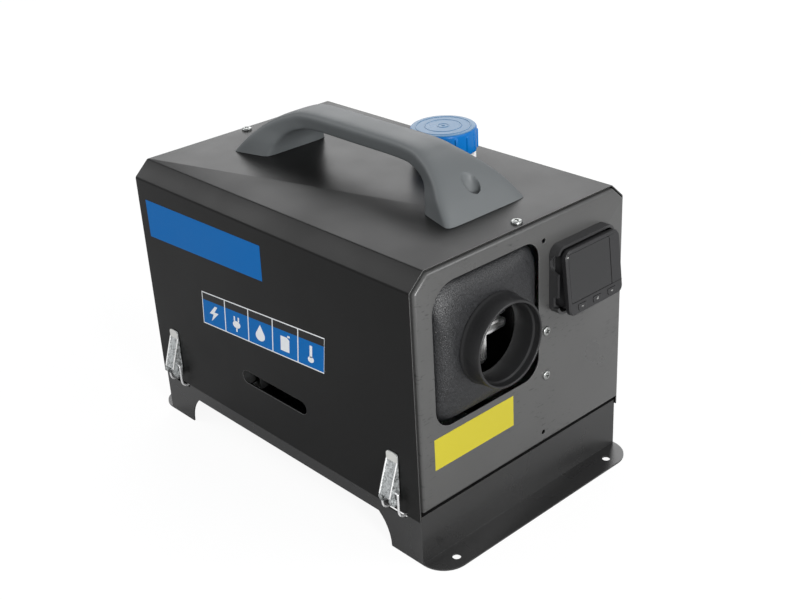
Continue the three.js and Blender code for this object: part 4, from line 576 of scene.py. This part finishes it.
def wire(name, corners, bends, radius, sides=18):
    """A round wire along straight runs, whose corners are rounded by quadratic curves that start and stop at
    the bend's distance. A circle is carried along the path, and its plane turns with the path's direction."""
    corners = np.array(corners, float)
    path = [corners[0]]
    for i, bend in enumerate(bends):
        back, corner, ahead = corners[i : i + 3]
        start = corner + (back - corner) / np.linalg.norm(back - corner) * bend
        stop = corner + (ahead - corner) / np.linalg.norm(ahead - corner) * bend
        t = np.linspace(0, 1, 10)[:, None]
        path += list((1 - t) ** 2 * start + 2 * t * (1 - t) * corner + t**2 * stop)
    path = np.array([*path, corners[-1]])
    along = np.gradient(path, axis=0)
    along /= np.linalg.norm(along, axis=1, keepdims=True)
    side = np.array([0.31, 0.22, 0.93])  # any direction that no run follows
    sideways = []
    for direction in along:
        side = side - direction * (side @ direction)
        side = side / np.linalg.norm(side)
        sideways.append(side)
    sideways = np.array(sideways)[:, None]
    upward = np.cross(along[:, None], sideways)
    angle = np.linspace(0, 2 * math.pi, sides, endpoint=False)[None, :, None]
    tube = path[:, None] + radius * (np.cos(angle) * sideways + np.sin(angle) * upward)
    return surface(name, capped(tube), closed_v=True, smooth=50)


def beside_case(out, latch_y, places):
    """Points in metres from places in millimetres: off the cover's side, along it from the latch, and up."""
    half = -1000 * cover_side
    return [(out * (half + off) / 1000, (latch_y + along) / 1000, z / 1000) for off, along, z in places]


roll_radius, roll_bend = 0.00062, 0.001
roll_route = [(1.6, 97), (7.3, 80.5), (12.1, 66)]
tab_places = [(-6.8, 105.4), (6.8, 105.4), (6.8, 96.5), (-6.8, 96.5)]
tab_outline = [(0, 0), (1, 0), *disc(0.72, 0.6, 0.28, 0.4, 0, 90, 8), *disc(0.28, 0.6, 0.28, 0.4, 90, 180, 8)]
bail_radius, bail_bends = 0.0011, (0.0016, 0.0085, 0.0016, 0.0016, 0.0085, 0.0016)
bail_route = [(6, -5.1, 69), (6, -10.3, 69), (6, -10.3, 44.1), (-4.5, -10.3, 44.1),
              (-4.5, 10.3, 44.1), (6, 10.3, 44.1), (6, 10.3, 69), (6, 5.1, 69)]
for end, latch_y in (("front", -164), ("rear", 164)):
    for side, out in (("left", -1), ("right", 1)):
        place = f"{end}_{side}"
        dressed(f"latch_base_{place}", base_zinc, edge=0.00015)
        dressed(f"latch_lever_{place}", lever_zinc, edge=0.00045, segments=3, wear_and_highlight=lever_edge_highlight)
        for number, along in enumerate((-6.45, 6.45)):
            run = beside_case(out, latch_y, [(off, along, z) for off, z in roll_route])
            roll = wire(f"lever_roll_{place}_{number}", run, [roll_bend], roll_radius)
            settle(roll, lever_edge_highlight, f"latch_lever_{place}", "zinc")
        touch = beside_case(out, latch_y, [(1.5, out * along, z) for along, z in tab_places])
        tab = plaque(f"lever_tab_{place}", [tab_outline], touch, (out, 0, 0), 0.00012)
        settle(tab, tab_painted_light, f"latch_lever_{place}", "zinc")
        bail = wire(f"bail_wire_{place}", beside_case(out, latch_y, bail_route), bail_bends, bail_radius)
        settle(bail, bail_zinc, f"latch_bail_{place}", "wire", f"latch_bail_{place}")

# Heater's front cap ---------------------------------------------------------------------------------
# A hollow plastic moulding that swells from the casing's outline to a round flat for the collar. Its coarse
# grain sparkles.

cap_texture = finish("heater_cap_texture", (0.013, 0.0134, 0.0145), 0.38, 900, 0.0005, specular=0.42,
                     tone=0.95, specks=0.25, crystals=850)


def cap_ring(half_width, half_height, radii, angle):
    """Distance from the middle to a rounded rectangle at each angle: to its straight sides, or to the
    corner's arc where the ray passes between the arc's ends. The radii run from the lower left corner."""
    along, above = np.cos(angle), np.sin(angle)
    lower, upper = np.where(along >= 0, radii[1], radii[0]), np.where(along >= 0, radii[2], radii[3])
    corner = np.where(above >= 0, upper, lower)
    to_side = half_width / np.maximum(np.abs(along), 1e-9)
    to_top = half_height / np.maximum(np.abs(above), 1e-9)
    straight = np.minimum(to_side, to_top)
    middle_u, middle_v = half_width - corner, half_height - corner
    towards = np.abs(along) * middle_u + np.abs(above) * middle_v
    arc = towards + np.sqrt(np.maximum(towards**2 - middle_u**2 - middle_v**2 + corner**2, 0))
    in_corner = (straight * np.abs(along) > middle_u) & (straight * np.abs(above) > middle_v)
    return np.where(in_corner, arc, straight)


def cap_points(count):
    """Rings of a hollow shell: outside from the back forwards, widths falling with the sine of an angle and
    depths with its cosine, round the collar's hole, and back inside at the wall's thickness. An angle past
    the quarter turn stands for the straight run to the back."""
    front_y, back_y, swell_depth, wall, hole_radius = -204.5, -170.0, 18, 3, 37.4
    edge_halves, edge_corners = (62.5, 65), (18, 18, 16, 24)
    flat_half, flat_corner = 42, 38
    quarter, beyond = math.pi / 2, 2
    angle = np.linspace(0, 2 * math.pi, count, endpoint=False)
    rings = []

    def add(inset, steps):
        for step in steps:
            swell = min(step, quarter)
            widen = math.sin(swell)
            radii = [flat_corner + (corner - flat_corner) * widen - inset for corner in edge_corners]
            halves = [flat_half + (half - flat_half) * widen - inset for half in edge_halves]
            y = front_y + inset + (swell_depth - inset) * (1 - math.cos(swell))
            rings.append((cap_ring(*halves, radii, angle), back_y if step > quarter else y))

    add(0, [beyond, *np.linspace(quarter, 0, 26)])
    rings.append((np.full(count, hole_radius), front_y))
    rings.append((np.full(count, hole_radius), front_y + wall))
    add(wall, [*np.linspace(0, quarter, 12), beyond])
    reaches, depths = np.array([reach for reach, y in rings]), np.array([y for reach, y in rings])[:, None]
    points = [outlet_x + reaches * np.cos(angle), depths + 0 * reaches, outlet_z + reaches * np.sin(angle)]
    return np.stack(points, axis=-1) / 1000


front_cap = surface("heater_front_moulding", cap_points(288), closed_u=True, closed_v=True, smooth=50)
settle(front_cap, cap_texture, "case", "textured_black", "heater_front_cap")

# Outlet collar --------------------------------------------------------------------------------------
# A smooth collar of black plastic, pressed into the cap's hole, that the warm air leaves by. It has a thin
# rounded rim and a step inside.

collar_black = finish("collar_black", (0.012, 0.012, 0.0125), 0.38, 900, 0.00001, specular=0.42, specks=0.2)


def turned(name, profile, centre, axis, sides=120, smooth=35):
    """A profile of radii and places along an axis, in millimetres, carried round the axis at centre. One that
    starts away from the axis is closed into a loop."""
    angle = np.linspace(0, 2 * math.pi, sides, endpoint=False)[None]
    radii, heights = (np.array(profile, float) / 1000).T[:, :, None]
    across, over, along = radii * np.cos(angle), radii * np.sin(angle), heights + 0 * angle
    parts = (across, along, over) if axis == "y" else (across, over, along)
    points = np.stack(parts, axis=-1) + np.array(centre) / 1000
    return surface(name, points, closed_u=bool(profile[0][0]), closed_v=True, smooth=smooth)


rim = -224
profile = [(34.2, -196.5), (37.1, -196.5), (37.1, -204.8), (41, -204.8), (41, -205.4), (40.3, -206.6),
           (39.9, -208.6), (39.6, -213), (39.2, rim + 5), (38.75, rim + 1.5), (38.55, rim + 0.7),
           (38.1, rim + 0.15), (37.7, rim), (36.9, rim), (36.6, rim + 0.2), (36.3, rim + 0.8),
           (36.1, rim + 2), (35.7, rim + 5.6), (35.5, rim + 6.1), (34.5, rim + 7.1), (34.2, rim + 7.8)]
collar = turned("outlet_collar_moulding", profile, (outlet_x, 0, outlet_z), "y", smooth=45)
settle(collar, collar_black, "case", "moulded_black", "outlet_collar")

# Casing and intake cap ------------------------------------------------------------------------------
# Two half shells round the exchanger and the blower, and a rear cap, all moulded in satin black plastic.
# Only the rear cap shows, behind the grille.

moulded_black = finish("moulded_black", (0.016, 0.016, 0.017), 0.42, 900, 0.00002, specular=0.4)
for name in ("heater_casing_upper", "heater_casing_lower", "heater_intake_cap"):
    dressed(name, moulded_black, edge=0.0003)

# Heat exchanger, burner, blower and pipes -----------------------------------------------------------
# Die-cast aluminium fins round a steel burner, seen through the outlet. The blower stands behind them in
# the casing, and two pipes lead down.

casting = finish("fin_casting", (0.93, 0.93, 0.92), 0.4, 420, 0.00008, metallic=0.3, tone=0.08)
steel = finish("plain_steel", (0.36, 0.37, 0.38), 0.35, 400, 0.00002, metallic=1.0, tone=0.15)
dressed("heat_exchanger", casting, edge=0.0005, segments=3)
for name in ("blower_housing", "combustion_impeller"):
    dressed(name, casting, edge=0.0003)
for name in ("burner", "glow_plug", "blower_motor", "rotor_shaft", "exhaust_pipe", "combustion_air_pipe"):
    dressed(name, steel, edge=0.0002)

# Fan, board, gasket and sheet fittings --------------------------------------------------------------
# The grey fan wheel is seen through the intake grille. The board, the gasket, the galvanised bracket and
# strap, and the supply in its galvanised housing stand inside the case.

fan_nylon = finish("fan_nylon", (0.045, 0.05, 0.054), 0.45, 900, 0.00002)
board_green = finish("board_green", (0.012, 0.1, 0.04), 0.4, 300, 0.00005, tone=0.3)
gasket_fibre = finish("gasket_fibre", (0.16, 0.145, 0.125), 0.85, 1200, 0.0001, tone=0.2)
galvanised = finish("galvanised_sheet", (0.42, 0.43, 0.43), 0.42, 220, 0.00001, metallic=0.9, tone=0.3,
                    crystals=120)
dressed("hot_air_wheel", fan_nylon, edge=0.0002)
dressed("control_board", board_green, edge=0.0002)
dressed("mounting_gasket", gasket_fibre, edge=0.0002)
for name in ("heater_bracket", "tank_strap", "power_supply"):
    dressed(name, galvanised, edge=0.0003)

# Tank and neck --------------------------------------------------------------------------------------
# A blow-moulded tank in milky polyethylene. A collar is moulded round the neck above the cover, and the
# neck carries a shallow two-start thread under its cap.

tank_milky = finish("tank_milky", (0.78, 0.79, 0.76), 0.42, 300, 0.00003, tone=0.03, Subsurface_Weight=0.15,
                    Subsurface_Scale=0.004)
dressed("fuel_tank", tank_milky, edge=0.0006)
neck_x, neck_y = 68.5, -33
shoulder = [(25.9, 278.7), (29.4, 278.7), (30, 279.1), (30.2, 279.8), (30.2, 283.6), (29.9, 284.4),
            (29.2, 284.8), (27, 285), (26.4, 285.6), (25.9, 286.2)]
settle(turned("neck_collar", shoulder, (neck_x, neck_y, 0), "z"), tank_milky, "case", "tank_white")

# Each start of the thread is a ridge of oval section, taller than it stands out, that rises evenly round
# the neck and tapers off at both ends.
neck_radius, thread_z, pitch, ridge, ridge_tall = 26, 291, 6, 0.42, 1.6
turn = np.linspace(0, 3.2 * math.pi, 130)
taper = ridge * np.minimum(1, 6 * np.sin(np.linspace(0, math.pi, 130)))[:, None, None]
around = np.linspace(0, 2 * math.pi, 12, endpoint=False)[None, :, None]
for start in range(2):
    swing = turn + math.pi * start
    radial = np.stack([np.cos(swing), np.sin(swing), 0 * swing], axis=-1)
    lead = neck_radius * radial + [neck_x, neck_y, thread_z]
    lead[:, 2] += pitch * turn / (2 * math.pi)
    oval = taper * (np.cos(around) * radial[:, None] + np.sin(around) * np.array([0, 0, ridge_tall]))
    thread = surface(f"neck_thread_{start}", (lead[:, None] + oval) / 1000, closed_v=True)
    settle(thread, tank_milky, "case", "tank_white")

# Filler cap -----------------------------------------------------------------------------------------
# A blue polypropylene cap, moulded with sixteen narrow grip ribs and turned down onto a rubber seal. A pale
# disc is set into its top.

cap_plastic = finish("cap_plastic", (0.0002, 0.125, 0.4), 0.28, 400, 0.00002, specular=0.25, tone=0.05,
                     specks=0.1)
disc_plastic = finish("cap_disc_plastic", (0.06, 0.16, 0.29), 0.3, 400, 0.00003, specular=0.22, tone=0.14,
                      specks=0.3)
cap_radius, rib_rise, rib_half, rib_slope = 31.3, 1.15, 1.55, 0.6


def cap_skirt(ribs, samples):
    """A profile carried round the neck. Its third number is the share of the ribs' rise that it takes: by
    that the radius grows inside each of the even, narrow ribs, with short slopes beside them."""
    profile = [(0, 305, 0), (26.8, 305, 0), (26.8, 288.6, 0), (27.4, 288, 0), (29.8, 288, 0),
               (30.7, 288.5, 0.2), (31.1, 289.3, 0.7), (31.25, 290.2, 1), (31.28, 298, 1),
               (cap_radius, 306.2, 1), (cap_radius, 306.8, 0.8), (cap_radius, 307.2, 0.2),
               (cap_radius, 307.5, 0), (cap_radius, 309.3, 0), (31.15, 310, 0), (30.8, 310.4, 0),
               (30.3, 310.5, 0), (0, 310.5, 0)]
    radii, heights, ribbed = np.array(profile, float).T[:, :, None]
    angle = np.linspace(0, 2 * math.pi, ribs * samples, endpoint=False)[None]
    rib_angle = 2 * math.pi / ribs
    beside = np.abs((angle / rib_angle + 0.5) % 1 - 0.5) * rib_angle * cap_radius
    reach = radii + rib_rise * ribbed * np.clip((rib_half - beside) / rib_slope, 0, 1)
    points = [neck_x + reach * np.cos(angle), neck_y + reach * np.sin(angle), heights + 0 * angle]
    return np.stack(points, axis=-1) / 1000


cap = surface("fuel_cap_moulding", cap_skirt(16, 30), closed_v=True, smooth=40)
settle(cap, cap_plastic, "fuel_cap", "cap_blue", "fuel_cap")
level = 311.3
rings = [(0, level + 0.5), (1.1, level + 0.45), (1.6, level), (4.6, level), (4.9, level + 0.35),
         (5.7, level + 0.35), (6, level), (16.5, level), (16.8, level + 0.3), (17.5, level + 0.3),
         (17.8, level), (25, level), (25.3, level + 0.35), (26.2, level + 0.35), (26.5, level),
         (29.3, level), (30, level - 0.2), (30.25, level - 0.75), (0, level - 0.78)]
settle(turned("fuel_cap_disc", rings, (neck_x, neck_y, 0), "z"), disc_plastic, "fuel_cap", "cap_blue")
seal_rubber = finish("seal_rubber", (0.02, 0.02, 0.02), 0.7, 600, 0.00003, tone=0.15)
dressed("cap_seal", seal_rubber)

# Fuel line ------------------------------------------------------------------------------------------
# A brass pickup, a clear filter, a dosing pump in a rubber saddle, and rubber hoses pushed over the
# spigots between them.

pickup_brass = finish("pickup_brass", (0.62, 0.46, 0.18), 0.3, 500, 0.00001, metallic=1.0)
filter_clear = finish("filter_clear", (0.7, 0.74, 0.76), 0.2, 500, 0.00001, tone=0.05)
hose_rubber = finish("hose_rubber", (0.02, 0.022, 0.025), 0.5, 700, 0.00002)
dressed("fuel_pickup", pickup_brass)
dressed("fuel_filter", filter_clear)
dressed("dosing_pump", steel, edge=0.0003)
dressed("pump_clamp", seal_rubber, edge=0.0004)
for name in ("fuel_hose_tank", "fuel_hose_pump"):
    dressed(name, hose_rubber, angle=70)

# Supply inlet, gland and intake grille --------------------------------------------------------------
# Black mouldings on the rear panel, in the same satin plastic as the heater's casing. Screws hold the inlet
# and the grille.

for name in ("mains_inlet", "supply_gland", "intake_grille"):
    dressed(name, moulded_black, edge=0.0004)

# Controller -----------------------------------------------------------------------------------------
# A dark screen and three keys in a satin plastic housing, held in an open tray on the front panel. It leans
# back a little.

controller_black = finish("controller_black", (0.015, 0.015, 0.016), 0.36, 1100, 0.00002, specular=0.45,
                          specks=0.2)
screen_black = finish("screen_black", (0.013, 0.0132, 0.0138), 0.16, 300, 0.0000015, tone=0.03, specks=0.15)
# The grooves' material is near black: painted shade.
groove_painted_shade = finish("groove_painted_shade", (0.004, 0.004, 0.004), 0.6, 600, 0.00001, specular=0.1)
key_print = finish("key_print", (0.3, 0.3, 0.29), 0.5, 900, 0.00001)
holder_black = finish("holder_black", (0.03, 0.03, 0.031), 0.4, 1100, 0.00002, specks=0.2)
dressed("controller_holder", holder_black, edge=0.0006)
dressed("controller_housing", controller_black, edge=0.0007, segments=3)
dressed("controller_screen", screen_black, edge=0.00015)
tilt = math.radians(6)
face_middle = np.array([66.5, -218, 217.5])
axes = np.array([[1, 0, 0], [0, math.cos(tilt), -math.sin(tilt)], [0, math.sin(tilt), math.cos(tilt)]])
facing = -axes[1]


def on_controller(left, low, right_edge, high, out=0.0):
    """Corners in metres, from the upper left clockwise, of a rectangle on the controller's leaning face. Its
    edges, and how far it lies out from the face, are in millimetres from the face's middle."""
    corners = [(left, -out, high), (right_edge, -out, high), (right_edge, -out, low), (left, -out, low)]
    return (np.array(corners) @ axes + face_middle) / 1000


# Two thin near-black strips lie where the face's grooves run: painted shade in place of a recess.
groove_shades = [on_controller(21.3, -17.9, 21.8, 27.5), on_controller(-33, -18.05, 35.3, -17.6)]
for number, corners in enumerate(groove_shades):
    groove_shade = plaque(f"controller_groove_shade_{number}", whole, corners, facing, 0.00004)
    settle(groove_shade, groove_painted_shade, "case", "screen_black")
sensor_corners = on_controller(-34.6, 24.6, -33.2, 26)
sensor = plaque("controller_sensor", [disc(0.5, 0.5, 0.5, 0.5)], sensor_corners, facing, 0.00012)
settle(sensor, key_print, "case", "fan_grey")
prints = {
    "left": [bar(0.1, 0.42, 0.9, 0.58)],
    "middle": [bar(0.15, 0.1, 0.3, 0.5), bar(0.42, 0.1, 0.57, 0.75), bar(0.7, 0.1, 0.85, 1)],
    "right": [[(0.1, 0.42), (0.42, 0.42), (0.42, 0.1), (0.58, 0.1), (0.58, 0.42), (0.9, 0.42), (0.9, 0.58),
               (0.58, 0.58), (0.58, 0.9), (0.42, 0.9), (0.42, 0.58), (0.1, 0.58)]],
}
for x, side in ((-20, "left"), (0, "middle"), (20, "right")):
    dressed(f"key_{side}", controller_black, edge=0.0004)
    corners = on_controller(x - 1.5, -25.1, x + 1.5, -22.4, 0.6)
    printed = plaque(f"key_print_{side}", prints[side], corners, facing, 0.00005)
    settle(printed, key_print, f"key_{side}", "fan_grey")
